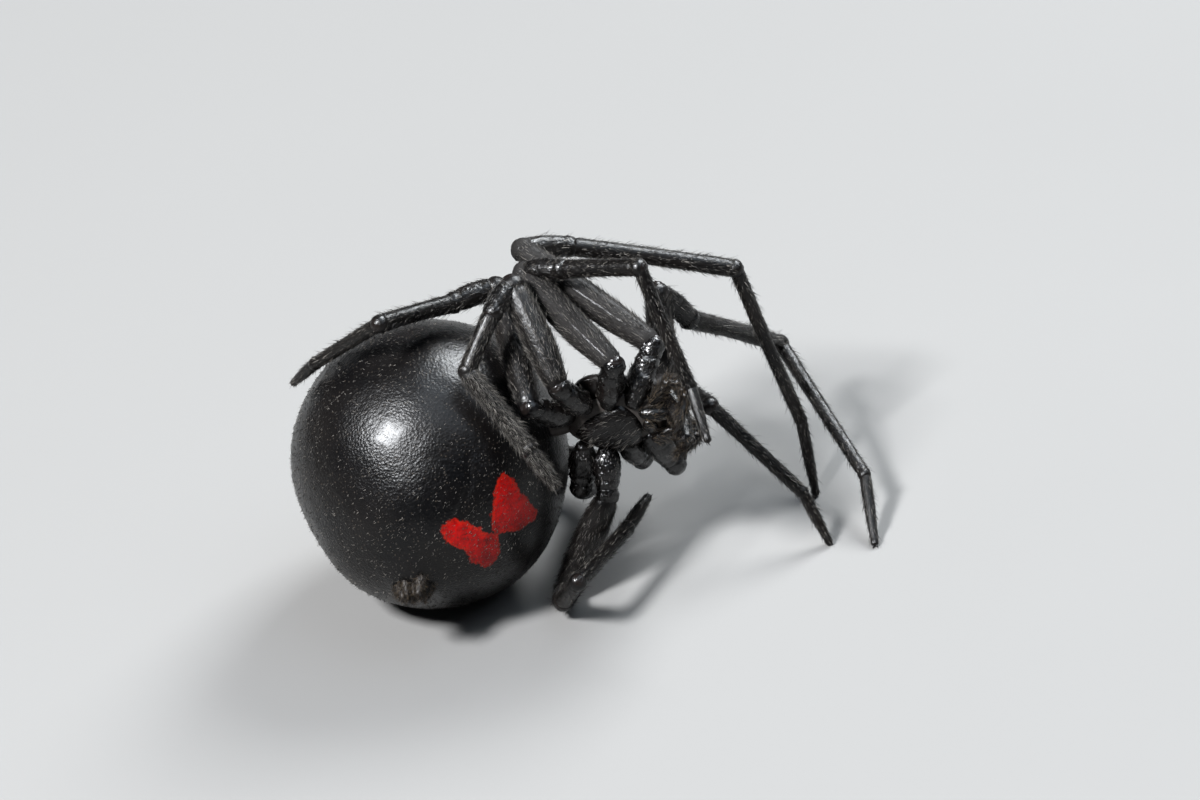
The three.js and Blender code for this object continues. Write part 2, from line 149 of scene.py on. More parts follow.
# Leg pairs from the front: the root of the coxa, then the lengths from coxa to tarsus
PAIRS = (
    ((3.05, 0.85, -0.45), (2.05, 5.8, 1.85, 5.6, 6.2, 2.5)),
    ((2.25, 1.1, -0.45), (1.7, 4.7, 1.5, 3.0, 4.3, 1.9)),
    ((1.45, 1.1, -0.45), (1.6, 3.8, 1.25, 2.15, 3.3, 1.5)),
    ((0.75, 0.8, -0.4), (1.75, 4.9, 1.6, 3.4, 3.8, 1.6)),
)
TROCHANTER_SHARE = 0.28
TIP_HEIGHT, KNEE_HEIGHT = 0.1, 0.38
STANDS = {"r1": "tarsus", "l1": "tarsus", "l2": "tarsus", "l3": "femur", "l4": "tarsus"}
SEGMENTS = ("femur", "patella", "tibia", "metatarsus", "tarsus")
# For each leg the coxa's swing and droop, then the heading and climb of each segment
LEGS = {
    "r1": ((47, -48), (133, 20), (22, -22), (-6, -18), (-33, -76), (-89, 0)),
    "r2": ((26, -6), (123, 22), (-28, 12), (-32, 11), (-65, -59), (-81, -41)),
    "r3": ((-14, 13), (109, 44), (-131, -16), (-136, -39), (-47, -46), (-44, -53)),
    "r4": ((-30, 21), (95, 23), (-160, 2), (-141, 19), (143, -38), (136, -45)),
    "l1": ((6, -10), (82, 59), (19, -58), (46, -42), (-71, -19), (-93, 0)),
    "l2": ((-5, -26), (79, -4), (-60, 27), (-70, 14), (-29, -48), (-53, 0)),
    "l3": ((-17, 34), (-168, 0), (-96, 23), (-64, 48), (54, -2), (56, 7)),
    "l4": ((-22, 11), (81, -26), (139, -4), (148, -3), (167, -3), (170, 0)),
}
# Segment: where it starts, its radii, its bow, its neck, how thickly and how long its hair grows, its gloss
# and its dust
LEG_TUBES = {
    "coxa": ("root", (0.34, 0.45, 0.46, 0.39), 0.0, 0.12, 0.5, 0.8, 1.0, 0.1),
    "trochanter": ("coxa", (0.36, 0.4, 0.36), 0.0, 0.22, 0.4, 0.7, 1.0, 0.1),
    "femur": ("trochanter", (0.38, 0.5, 0.49, 0.4), 0.012, 0.2, 1.5, 1.0, 0.1, 0.8),
    "patella": ("femur", (0.36, 0.39, 0.35), 0.03, 0.15, 0.8, 1.0, 0.4, 0.5),
    "tibia": ("patella", (0.32, 0.29, 0.3), 0.008, 0.14, 1.3, 1.1, 0.1, 0.45),
    "metatarsus": ("tibia", (0.24, 0.22, 0.21), 0.006, 0.12, 1.6, 1.0, 0.0, 0.3),
    "tarsus": ("metatarsus", (0.2, 0.18, 0.12), 0.0, 0.1, 1.8, 0.9, 0.0, 0.3),
}
SEGMENT_NODES = ("coxa", "femur", "tibia", "metatarsus")
END_SEGMENTS = ("metatarsus", "tarsus")
# Legs whose end segments are stouter than the others
STOUT_ENDS = {"r3": 1.42, "l3": 1.15}
# The leg whose end segments are brushes: how much thicker and longer their hair is. All its short hair also
# takes a finish with more pale hairs, a painted sheen of the light that falls on that leg
BRUSHY_LEG, BRUSH_AMOUNT, BRUSH_REACH = "r3", 2.6, 1.3
# Legs whose femora are velvety
DULL_FEMORA, DULLNESS = ("r1", "r2"), 4.0
# How uneven a segment's outline is, and what full gloss adds to that
ROUGH, GLOSS_ROUGH = 0.012, 0.11
# The shares of a segment's length over which its hair thins out to nothing
BARE_START, BARE_END = 0.06, 0.03
LEG_SIDES, LEG_STEP = 32, 0.07
# The soft skin in a joint: its radius against that of the segment, how flat it is, and the depth and
# number of its folds
JOINT_SHARE, JOINT_FLATNESS, JOINT_FOLD, JOINT_FOLDS = 0.93, 0.98, 0.035, 14
CLAW_LENGTH, CLAW_RADIUS, CLAW_APART, CLAW_BOW = 0.2, 0.028, 0.045, 0.16
CLAW_TAPER = (1, 0.8, 0.15)

# Coats: hairs to a square millimetre, their length and root radius, how far they lift, curl and scatter,
# the seed, and the finish
COATS = {
    "abdomen_hair": (24, 0.1, 0.011, 0.6, 2.0, 0.5, 21, "hair"),
    # Pale hairs on the abdomen: partly dust and pale setae, partly painted glints of light on short hairs
    "abdomen_pale_hair": (16, 0.08, 0.011, 0.5, 1.0, 1.2, 23, "pale hair"),
    "spinneret_hair": (800, 0.2, 0.008, 0.9, 2.0, 1.0, 22, "tan hair"),
    "carapace_hair": (14, 0.2, 0.009, 0.5, 3.0, 0.3, 31, "hair"),
    "sternum_hair": (60, 0.24, 0.01, 0.8, 3.0, 0.45, 32, "hair"),
    "mouth_hair": (160, 0.3, 0.01, 0.8, 2.0, 0.5, 33, "tan hair"),
    "chelicera_hair": (160, 0.25, 0.009, 0.7, 2.0, 0.4, 34, "tan hair"),
    "palp_right_hair": (320, 0.32, 0.01, 0.5, 2.0, 0.35, 41, "tan hair"),
    "palp_left_hair": (320, 0.32, 0.01, 0.5, 2.0, 0.35, 42, "tan hair"),
}
LEG_HAIR_STYLE = {"Lift": 0.4, "Curl": 4.0, "Scatter": 0.34}
LEG_BRISTLE_STYLE = {"Lift": 0.75, "Curl": 5.0, "Scatter": 0.3}
LEG_HAIR_SEED, LEG_BRISTLE_SEED = 50, 70

# Camera and studio
PHOTO_WIDTH, PHOTO_HEIGHT = 1200, 800
PIXELS_PER_MM = 30
ABDOMEN_PIXEL = (430, 458)
CAMERA_ELEVATION, CAMERA_ROLL, CAMERA_DISTANCE = 35, 10.6, 420
SENSOR_WIDTH = 36
LAMP_DISTANCE = 260
# Each lamp: the way to it in the view's own right, up and toward, its side in metres, and its tint
LAMPS = {
    "key": ((-0.55, 0.36, 0.77), 0.05, (0.95, 0.97, 1)),
    "top": ((0.38, 0.92, -0.03), 0.11, (0.93, 0.97, 1)),
    "sky": ((0.3, 0.75, 0.55), 0.24, (0.75, 0.87, 1)),
}
ROOM_TINT = (0.85, 0.9, 1, 1)


class FigureColours(bpy.types.PropertyGroup):
    """Colours of the figure and the studio"""

    abdomen: bpy.props.FloatVectorProperty(
        name="Abdomen", description="Skin of the abdomen", subtype="COLOR", size=4,
        default=(0.0008, 0.0008, 0.001, 1))
    mark: bpy.props.FloatVectorProperty(
        name="Hourglass", description="Red of the mark on the belly", subtype="COLOR", size=4,
        default=(0.26, 0.0005, 0.0002, 1))
    mark_edge: bpy.props.FloatVectorProperty(
        name="Hourglass Edge", description="Orange tinge toward the mark's edge", subtype="COLOR", size=4,
        default=(0.26, 0.008, 0.0014, 1))
    shell: bpy.props.FloatVectorProperty(
        name="Shell", description="Carapace, chelicerae and coxae", subtype="COLOR", size=4,
        default=(0.002, 0.0018, 0.0018, 1))
    leg: bpy.props.FloatVectorProperty(
        name="Legs", description="Skin of the legs and palps", subtype="COLOR", size=4,
        default=(0.0008, 0.0008, 0.0009, 1))
    membrane: bpy.props.FloatVectorProperty(
        name="Joints", description="Soft skin between the segments", subtype="COLOR", size=4,
        default=(0.006, 0.0045, 0.004, 1))
    # The dark hair's brown cast is partly its own colour, partly painted warm bounce light
    hair: bpy.props.FloatVectorProperty(
        name="Hair", description="Short hair and bristles", subtype="COLOR", size=4,
        default=(0.0068, 0.0054, 0.0046, 1))
    pale_hair: bpy.props.FloatVectorProperty(
        name="Pale Hair", description="The lightest bristles", subtype="COLOR", size=4,
        default=(0.15, 0.138, 0.122, 1))
    tan_hair: bpy.props.FloatVectorProperty(
        name="Tan Hair", description="The lightest hair of the palps, mouth and spinnerets",
        subtype="COLOR", size=4, default=(0.075, 0.056, 0.037, 1))
    # Colour of the pale flecks on the abdomen: partly dust, partly painted glints of short hairs
    dust: bpy.props.FloatVectorProperty(
        name="Dust", description="Fine flecks on the abdomen", subtype="COLOR", size=4,
        default=(0.034, 0.028, 0.022, 1))
    floor: bpy.props.FloatVectorProperty(
        name="Floor", description="Floor of the studio", subtype="COLOR", size=4,
        default=(0.147, 0.144, 0.139, 1))


class FigureBristles(bpy.types.PropertyGroup):
    """Sizes of the hair"""

    hair_density: bpy.props.FloatProperty(
        name="Hair Density", description="Short hairs on a square millimetre of leg", default=120.0, min=0)
    hair_length: bpy.props.FloatProperty(
        name="Hair Length", description="Length of the short hair", default=0.00015, unit="LENGTH")
    hair_thickness: bpy.props.FloatProperty(
        name="Hair Thickness", description="Radius at the root of a short hair", default=0.0000065,
        unit="LENGTH", precision=6)
    bristle_density: bpy.props.FloatProperty(
        name="Bristle Density", description="Long bristles on a square millimetre of leg", default=20.0,
        min=0)
    bristle_length: bpy.props.FloatProperty(
        name="Bristle Length", description="Length of the long bristles", default=0.0003, unit="LENGTH")
    bristle_thickness: bpy.props.FloatProperty(
        name="Bristle Thickness", description="Radius at the root of a bristle", default=0.00001,
        unit="LENGTH", precision=6)


class FigureStudio(bpy.types.PropertyGroup):
    """Sizes and strengths of the studio"""

    floor_size: bpy.props.FloatProperty(
        name="Floor Size", description="Side of the square floor", default=3.0, unit="LENGTH")
    key_power: bpy.props.FloatProperty(
        name="Key Light", description="Power of the soft light at the camera's left", default=2.5,
        unit="POWER")
    top_power: bpy.props.FloatProperty(
        name="Top Light", description="Power of the soft light above and behind", default=1.75, unit="POWER")
    sky_power: bpy.props.FloatProperty(
        name="Sky Light", description="Power of the widest light, overhead", default=0.5, unit="POWER")
    surroundings: bpy.props.FloatProperty(
        name="Surroundings", description="Brightness of the room", default=0.05, min=0)


# Placing

def direction(heading, climb):
    """The direction with a heading and a climb, both in degrees."""
    h, c = math.radians(heading), math.radians(climb)
    return np.array([math.cos(h) * math.cos(c), math.sin(h) * math.cos(c), math.sin(c)])


def body_axes(heading, climb, roll):
    """A matrix whose columns point forward, to the left and to the back of a part of the body."""
    forward = direction(heading, climb)
    turn, tilt = math.radians(heading), math.radians(roll)
    level = np.array([-math.sin(turn), math.cos(turn), 0.0])
    left = level * math.cos(tilt) + np.cross(forward, level) * math.sin(tilt)
    return np.stack([forward, left, np.cross(forward, left)], axis=1)


ABDOMEN_AXES = body_axes(*ABDOMEN_POSE)
HEAD_AXES = body_axes(*CEPHALOTHORAX_POSE)


def unit(vector):
    return vector / np.linalg.norm(vector)


def in_abdomen(points):
    return np.asarray(points, float) @ ABDOMEN_AXES.T + ABDOMEN_CENTRE


def in_head(points, flank=LEFT):
    """Places given in the cephalothorax's own frame, mirrored for the right flank."""
    return (np.asarray(points, float) * (1, flank, 1)) @ HEAD_AXES.T + WAIST


def smooth(share):
    share = np.clip(share, 0, 1)
    return share * share * (3 - 2 * share)


def eased(places, stations, values):
    """Values at places along a body, on one smooth curve through the stations."""
    stations, values = np.asarray(stations, float), np.asarray(values, float)
    slopes = np.gradient(values, stations)
    after = np.clip(np.searchsorted(stations, places), 1, len(stations) - 1)
    low, high = stations[after - 1], stations[after]
    gap = high - low
    t = np.clip((places - low) / gap, 0, 1)
    a, b = values[after - 1], values[after]
    ease = smooth(t)
    bend = t * (1 - t) * gap * (slopes[after - 1] * (1 - t) - slopes[after] * t)
    return a + (b - a) * ease + bend


def roughness_of(points, scale, shift):
    """Smooth random values from -1 to 1, one for each point."""
    flat = np.asarray(points, float).reshape(-1, 3) * scale + shift
    values = np.array([noise.noise(Vector(p)) for p in flat])
    return values.reshape(np.shape(points)[:-1])


def no_lower_than_floor(points):
    points[..., 2] = np.maximum(points[..., 2], 0.0)
    return points


# Skins

FIBRE_SCALE = 0.9  # of a millimetre, where a skin's grain has no direction
FIBRE_STRETCH = 0.4  # along a segment, against round it
UNWRAP_MARGIN = 0.004  # keeps each bristle's patch inside the unwrap
BAND_SHARE = 0.9  # of the room in the unwrap that each grid of a skin has
STRIP_START, STRIP_SHARE = 0.91, 0.08  # of the same room, for the joint that follows a grid
FULL_HAIR = {"amount": 1.0, "reach": 1.0}


class Skin:
    """Closed grids of points gathered into one mesh, with what the hair and the finish read there."""

    VALUES = {"lie": 3, "amount": 1, "reach": 1, "tone": 1, "gloss": 1, "dust": 1, "fibre": 3}

    def __init__(self):
        self.points, self.faces, self.unwrap = [], [], []
        self.values = {name: [] for name in self.VALUES}
        self.count = 0

    def add(self, grid, patch=(0, 0, 1, 1), **values):
        """Adds a grid whose columns close round it and whose first and last rows are poles."""
        rows, columns = grid.shape[:2]
        keep = np.ones((rows, columns), bool)
        keep[0, 1:] = keep[-1, 1:] = False
        index = np.cumsum(keep.ravel()).reshape(rows, columns) - 1
        index[0], index[-1] = index[0, 0], index[-1, 0]
        beside = np.roll(index, -1, axis=1)
        points = grid[keep]
        down = np.repeat(np.linspace(0, 1, rows)[:, None], columns, 1)
        across = np.repeat(np.linspace(0, 1, columns, endpoint=False)[None], rows, 0)
        corners = (
            (index[:-1], down[:-1], across[:-1]),
            (index[1:], down[1:], across[1:]),
            (beside[1:], down[1:], across[1:] + 1 / columns),
            (beside[:-1], down[:-1], across[:-1] + 1 / columns),
        )
        quads = np.stack([c[0].ravel() for c in corners], axis=1)
        spread = np.stack([np.stack([c[1].ravel(), c[2].ravel()], 1) for c in corners], axis=1)
        spread = spread * (patch[2], patch[3]) + (patch[0], patch[1])
        spread = UNWRAP_MARGIN + (1 - 2 * UNWRAP_MARGIN) * spread
        a, b, c, d = (points[quads[:, k]] for k in range(4))
        volume = np.einsum("ij,ij->", a, np.cross(b, c)) + np.einsum("ij,ij->", a, np.cross(c, d))
        if volume < 0:
            quads, spread = quads[:, ::-1], spread[:, ::-1]
        for corner_ids, places in zip(quads.tolist(), spread.tolist()):
            face, uvs = [], []
            for corner, place in zip(corner_ids, places):
                if corner + self.count not in face:
                    face.append(corner + self.count)
                    uvs.append(place)
            self.faces.append(face)
            self.unwrap.extend(uvs)
        self.points.append(points)
        values.setdefault("fibre", grid * FIBRE_SCALE)
        for name, width in self.VALUES.items():
            value = np.asarray(values.get(name, 0.0), float)
            shape = (rows, columns, 3) if width == 3 else (rows, columns)
            if width == 1 and value.ndim == 1:
                value = value[:, None]
            self.values[name].append(np.broadcast_to(value, shape)[keep])
        self.count += len(points)

    def made(self, name, look):
        """The mesh object with its finish, in metres."""
        mesh = bpy.data.meshes.new(name)
        mesh.from_pydata(np.vstack(self.points) * MM, [], self.faces)
        spread = mesh.uv_layers.new(name="spread")
        spread.data.foreach_set("uv", np.ravel(self.unwrap))
        for value, width in self.VALUES.items():
            kind, field = ("FLOAT_VECTOR", "vector") if width == 3 else ("FLOAT", "value")
            attribute = mesh.attributes.new(value, kind, "POINT")
            attribute.data.foreach_set(field, np.concatenate(self.values[value]).ravel())
        mesh.shade_smooth()
        mesh.materials.append(finish(look))
        piece = bpy.data.objects.new(name, mesh)
        bpy.context.scene.collection.objects.link(piece)
        return piece


def band(i, count):
    """The place in the unwrap of one of so many grids."""
    return (0, i / count, 1, BAND_SHARE / count)


def strip(i, count):
    """A small place in the unwrap, between that of one grid and the next."""
    return (0.9, (i + STRIP_START) / count, 0.1, STRIP_SHARE / count)


def across_of(axis, wish):
    """Two directions square to an axis, the first as near as can be to a wish."""
    first = unit(wish - axis * np.dot(wish, axis))
    return first, np.cross(axis, first)


def angles(count):
    return np.linspace(0, 2 * math.pi, count, endpoint=False)


END_REACH = 0.8  # of the radius there, how far a rounded end stands out
END_ROWS = 7
NECK_REACH = 0.13
COLLAR, COLLAR_REACH = 0.09, 0.06
GROOVE, GROOVE_AT = 0.07, 0.2
FLUTE, FLUTES, FLUTE_EASE = 0.014, 7, 0.2
BUMPS = ((2.2, 0.0, 1.0), (6.0, 9.0, 0.5))  # to the millimetre, a shift of the pattern, and their share


def tube_grid(start, end, radii, back, sides, step, bow=0.0, rough=ROUGH, neck=0.0):
    """A rounded segment between two joints: its grid, its fibre, how far along each row is, its axis."""
    length = np.linalg.norm(end - start)
    axis = (end - start) / length
    back, beside = across_of(axis, back)
    count = max(4, round(length / step))
    along = np.linspace(0, length, count)
    radius = eased(along, np.linspace(0, length, len(radii)), radii)
    if neck:
        left = length - along
        radius = radius * (1 - neck * np.exp(-((along / NECK_REACH) ** 2)))
        radius = radius * (1 + COLLAR * np.exp(-(((left - COLLAR_REACH) / COLLAR_REACH) ** 2)))
        radius = radius * (1 - GROOVE * np.exp(-(((left - GROOVE_AT) / COLLAR_REACH) ** 2)))
    turn = np.linspace(0, math.pi / 2, END_ROWS)[:-1]
    first, last = radius[0], radius[-1]
    before = -END_REACH * first * np.cos(turn)
    beyond = length + END_REACH * last * np.cos(turn[::-1])
    along = np.concatenate([before, along, beyond])
    radius = np.concatenate([first * np.sin(turn), radius, last * np.sin(turn[::-1])])
    arch = bow * length * np.sin(math.pi * np.clip(along / length, 0, 1))
    middle = start + np.outer(along, axis) + np.outer(arch, back)
    around = angles(sides)
    ring = np.outer(np.cos(around), back) + np.outer(np.sin(around), beside)
    if neck:
        fluted = smooth(along / (FLUTE_EASE * length)) * smooth((length - along) / (FLUTE_EASE * length))
        ring = ring * (1 + FLUTE * np.outer(fluted, np.cos(FLUTES * around + length)))[..., None]
    grid = middle[:, None] + radius[:, None, None] * ring
    if rough:
        bumps = sum(share * roughness_of(grid, scale, shift) for scale, shift, share in BUMPS)
        grid = grid + (radius[:, None] * rough * bumps)[..., None] * ring
    fibre = np.zeros(grid.shape)
    fibre[..., 0], fibre[..., 1] = np.cos(around), np.sin(around)
    fibre[..., 2] = (along * FIBRE_STRETCH)[:, None] + length
    return grid, fibre, along / length, axis


def ball_grid(centre, radii, axes, rows, columns, shape=None):
    """An ellipsoid with its poles on the first axis, and the direction of each of its points."""
    down = np.linspace(0, math.pi, rows)
    around = angles(columns)
    way = np.stack([
        np.repeat(np.cos(down)[:, None], columns, 1),
        np.outer(np.sin(down), np.cos(around)),
        np.outer(np.sin(down), np.sin(around)),
    ], axis=-1)
    reach = way * np.asarray(radii)
    if shape is not None:
        reach = shape(way, reach)
    return reach @ np.asarray(axes).T + centre, way


# Bristles

def link(tree, output, socket):
    tree.links.new(output, socket)


def node(tree, kind, inputs=None, **settings):
    """A new node; each of its inputs takes a value or another node's output."""
    made = tree.nodes.new(kind)
    for key, value in settings.items():
        setattr(made, key, value)
    for key, value in (inputs or {}).items():
        if isinstance(value, bpy.types.NodeSocket):
            tree.links.new(value, made.inputs[key])
        else:
            made.inputs[key].default_value = value
    return made


def maths(tree, operation, *values):
    return node(tree, "ShaderNodeMath", dict(enumerate(values)), operation=operation).outputs[0]


def vector_maths(tree, operation, *values):
    return node(tree, "ShaderNodeVectorMath", dict(enumerate(values)), operation=operation).outputs[0]


def scaled(tree, vector, factor):
    return node(tree, "ShaderNodeVectorMath", {0: vector, "Scale": factor}, operation="SCALE").outputs[0]


def value_socket(store):
    """The input of a Store Named Attribute node that takes its value."""
    return next(s for s in store.inputs if s.enabled and s.name == "Value")


def chance(tree, low, high, seed):
    """A random value for each bristle."""
    made = node(tree, "FunctionNodeRandomValue", data_type="FLOAT")
    made.inputs[2].default_value = low
    made.inputs[3].default_value = high
    made.inputs["Seed"].default_value = seed
    return made.outputs[1]


PATCH_SIZE = 0.003  # of the unwrap, for one bristle
THICK_CHANCE, LONG_CHANCE = (0.75, 1.25), (0.55, 1.25)
WANDER_SEED, THICK_SEED, LONG_SEED, SHADE_SEED = 3, 5, 7, 11

BRISTLE_INPUTS = (
    ("Density", "NodeSocketFloat"),
    ("Length", "NodeSocketFloat"),
    ("Thickness", "NodeSocketFloat"),
    ("Lift", "NodeSocketFloat"),
    ("Curl", "NodeSocketFloat"),
    ("Scatter", "NodeSocketFloat"),
    ("Seed", "NodeSocketInt"),
    ("Finish", "NodeSocketMaterial"),
)


def bristle_tree():
    """Geometry nodes that grow tapering bristles from a skin, along the lie stored on it."""
    tree = bpy.data.node_groups.get("Bristles")
    if tree:
        return tree
    tree = bpy.data.node_groups.new("Bristles", "GeometryNodeTree")
    tree.interface.new_socket("Skin", in_out="INPUT", socket_type="NodeSocketGeometry")
    for name, kind in BRISTLE_INPUTS:
        tree.interface.new_socket(name, in_out="INPUT", socket_type=kind)
    tree.interface.new_socket("Bristles", in_out="OUTPUT", socket_type="NodeSocketGeometry")
    given = tree.nodes.new("NodeGroupInput").outputs

    def stored(name, kind):
        made = node(tree, "GeometryNodeInputNamedAttribute", {"Name": name}, data_type=kind)
        return next(o for o in made.outputs if o.enabled and o.name == "Attribute")

    amount = maths(tree, "MULTIPLY", given["Density"], stored("amount", "FLOAT"))
    points = node(tree, "GeometryNodeDistributePointsOnFaces", {
        "Mesh": given["Skin"], "Density": amount, "Seed": given["Seed"],
    }, distribute_method="RANDOM")
    cone = node(tree, "GeometryNodeMeshCone", {
        "Vertices": 3, "Side Segments": 2, "Radius Top": 0.0, "Radius Bottom": 1.0, "Depth": 1.0,
    }, fill_type="NONE")
    place = node(tree, "GeometryNodeInputPosition").outputs[0]
    own = node(tree, "GeometryNodeStoreNamedAttribute", {
        "Geometry": cone.outputs["Mesh"], "Name": "own",
    }, data_type="FLOAT_VECTOR", domain="POINT")
    link(tree, place, value_socket(own))

    normal = points.outputs["Normal"]
    wander = node(tree, "FunctionNodeRandomValue", data_type="FLOAT_VECTOR")
    wander.inputs[0].default_value = (-1, -1, -1)
    wander.inputs[1].default_value = (1, 1, 1)
    wander.inputs["Seed"].default_value = WANDER_SEED
    toward = vector_maths(tree, "ADD", stored("lie", "FLOAT_VECTOR"), scaled(tree, normal, given["Lift"]))
    toward = vector_maths(tree, "ADD", toward, scaled(tree, wander.outputs[0], given["Scatter"]))
    upright = node(tree, "FunctionNodeAlignRotationToVector", {"Vector": toward}, axis="Z")
    inward = scaled(tree, normal, -1.0)
    turned = node(tree, "FunctionNodeAlignRotationToVector", {
        "Rotation": upright.outputs[0], "Vector": inward,
    }, axis="X", pivot_axis="Z")
    thick = maths(tree, "MULTIPLY", given["Thickness"], chance(tree, *THICK_CHANCE, THICK_SEED))
    long = maths(tree, "MULTIPLY", given["Length"], chance(tree, *LONG_CHANCE, LONG_SEED))
    long = maths(tree, "MULTIPLY", long, stored("reach", "FLOAT"))
    size = node(tree, "ShaderNodeCombineXYZ", {"X": thick, "Y": thick, "Z": long})

    # A bristle bends toward the skin, by a shift in thicknesses, since each instance is scaled by its own
    height = node(tree, "ShaderNodeSeparateXYZ", {0: place}).outputs["Z"]
    bend = maths(tree, "MULTIPLY", maths(tree, "MULTIPLY", height, height), given["Curl"])
    shift = node(tree, "ShaderNodeCombineXYZ", {"X": bend})
    bent = node(tree, "GeometryNodeSetPosition", {
        "Geometry": own.outputs["Geometry"], "Offset": shift.outputs[0],
    })
    spots = node(tree, "GeometryNodeInstanceOnPoints", {
        "Points": points.outputs["Points"], "Instance": bent.outputs["Geometry"],
        "Rotation": turned.outputs[0], "Scale": size.outputs[0],
    })
    shade = node(tree, "GeometryNodeStoreNamedAttribute", {
        "Geometry": spots.outputs["Instances"], "Name": "shade",
    }, data_type="FLOAT", domain="INSTANCE")
    link(tree, chance(tree, 0.0, 1.0, SHADE_SEED), value_socket(shade))
    real = node(tree, "GeometryNodeRealizeInstances", {"Geometry": shade.outputs["Geometry"]})
    patch = vector_maths(tree, "MULTIPLY", stored("own", "FLOAT_VECTOR"), (PATCH_SIZE / 2, 0.0, PATCH_SIZE))
    parts = node(tree, "ShaderNodeSeparateXYZ", {0: patch})
    flat = node(tree, "ShaderNodeCombineXYZ", {"X": parts.outputs["X"], "Y": parts.outputs["Z"]})
    spot = vector_maths(tree, "ADD", stored("spread", "FLOAT_VECTOR"), flat.outputs[0])
    baked = node(tree, "GeometryNodeStoreNamedAttribute", {
        "Geometry": real.outputs["Geometry"], "Name": "OFBake",
    }, data_type="FLOAT2", domain="CORNER")
    link(tree, spot, value_socket(baked))
    spots_now = node(tree, "ShaderNodeSeparateXYZ", {0: place})
    above = node(tree, "ShaderNodeCombineXYZ", {
        "X": spots_now.outputs["X"], "Y": spots_now.outputs["Y"],
        "Z": maths(tree, "MAXIMUM", spots_now.outputs["Z"], 0.0),
    })
    lifted = node(tree, "GeometryNodeSetPosition", {
        "Geometry": baked.outputs["Geometry"], "Position": above.outputs[0],
    })
    done = node(tree, "GeometryNodeSetMaterial", {
        "Geometry": lifted.outputs["Geometry"], "Material": given["Finish"],
    })
    out = tree.nodes.new("NodeGroupOutput")
    link(tree, done.outputs["Geometry"], out.inputs[0])
    return tree


def grow_bristles(name, skin, slot, look, **values):
    """A plain mesh of bristles over a skin."""
    tree = bristle_tree()
    host = bpy.data.objects.new(name + "_host", skin.data)
    bpy.context.scene.collection.objects.link(host)
    grow = host.modifiers.new("Grow", "NODES")
    grow.node_group = tree
    wanted = {"Finish": finish(look), **values}
    for socket in tree.interface.items_tree:
        if socket.in_out == "INPUT" and socket.name in wanted:
            grow[socket.identifier] = wanted[socket.name]
    bpy.context.view_layer.update()
    seen = host.evaluated_get(bpy.context.evaluated_depsgraph_get())
    piece = host.copy()
    piece.modifiers.clear()
    piece.data = bpy.data.meshes.new_from_object(seen)
    piece.name = piece.data.name = name
    bpy.data.objects.remove(host)
    bpy.context.scene.collection.objects.link(piece)
    for spare in (*Skin.VALUES, "own", "spread"):
        if spare in piece.data.attributes:
            piece.data.attributes.remove(piece.data.attributes[spare])
    if not len(piece.data.polygons):
        raise RuntimeError(f"{name} grew no bristles")
    piece.data.shade_smooth()
    return settled(piece, slot)


def grow_coat(name, skin, slot):
    """The coat of one place, by its line in the table."""
    density, length, radius, lift, curl, scatter, seed, look = COATS[name]
    grow_bristles(name, skin, slot, look, Density=density * 1e6, Length=length * MM, Thickness=radius * MM,
                  Lift=lift, Curl=curl, Scatter=scatter, Seed=seed)


def settled(piece, slot, *nodes):
    """The piece rides on the figure's one body and stands for the solids that it is made over."""
    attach(piece, "root")
    if nodes:
        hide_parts(*nodes)
    return piece


# Finishes

# Warm patches in the abdomen's skin: partly its own brown, partly painted warm bounce light
WARM_ABDOMEN = (0.0026, 0.002, 0.0018, 1)
MARK_MOTTLE = (0.085, 0.0004, 0.0002, 1)
WARM_SHELL = (0.006, 0.0035, 0.0025, 1)
# Warm patches in the legs' skin: partly their own brown, partly painted warm bounce light
WARM_LEG = (0.0032, 0.0024, 0.002, 1)
LEG_DUST = (0.0042, 0.0033, 0.0028, 1)
SOFT_DARK, SOFT_PALE = (0.018, 0.015, 0.0135, 1), (0.05, 0.043, 0.038, 1)
EYE_DARK, EYE_PALE = (0.004, 0.004, 0.006, 1), (0.02, 0.012, 0.01, 1)
FLOOR_SHADE = 0.94  # of its darkest clouds
# Scales of the noise in a finish, to the metre
FLECK_SCALE, RAGGED_SCALE, KNOB_SCALE, EYE_SCALE, CLOUD_SCALE = 8500.0, 2600.0, 4600.0, 6000.0, 40.0
SKIN_PATCHES, LEG_PATCHES = 420.0, 700.0
# Shares of a bump: small cells against creases, pores against ridges, and knobs at full gloss
CELL_SHARE, PORE_SHARE, KNOB_SHARE = 0.5, 0.35, 14.0
# Flecks, partly dust and partly painted glints of short hairs: how far from its middle a fleck fades, and
# which of all the cells have one
FLECK_FADE, FLECK_CHANCE = (0.12, 0.26), (0.4, 0.9)
# Patches of a skin: from where to where they turn its tone, and its roughness
TONE_PATCHES, ROUGH_PATCHES = (0.35, 0.7), (0.3, 0.7)
# The red marks: how ragged their edge is, where it begins, where their red is deep, and their mottling
MARK_RAGGED, MARK_EDGE, MARK_DEEP = (-0.13, 0.13), (-0.06, 0.0), (-0.05, 0.12)
MARK_MOTTLING, MARK_MOTTLED = (0.44, 0.66), (0.0, 0.75)
# What full gloss adds to a leg's coat and roughness, and what full dust adds to its roughness
GLOSS_COAT, GLOSS_WET, DUST_DULL = 0.4, -0.08, 0.13
# Each hair's own chance makes it dark or pale: from which chance it turns pale, and its palest tint
HAIRS = {
    "hair": (0.62, "pale_hair"),
    "pale hair": (0.1, "pale_hair"),
    # More of these hairs are pale: a painted sheen, for the leg that the light falls on most
    "silver hair": (0.22, "pale_hair"),
    "tan hair": (0.5, "tan_hair"),
}


def tint(name):
    """A colour of the figure, as its user has set it."""
    return tuple(getattr(bpy.context.scene.figure_colours, name))


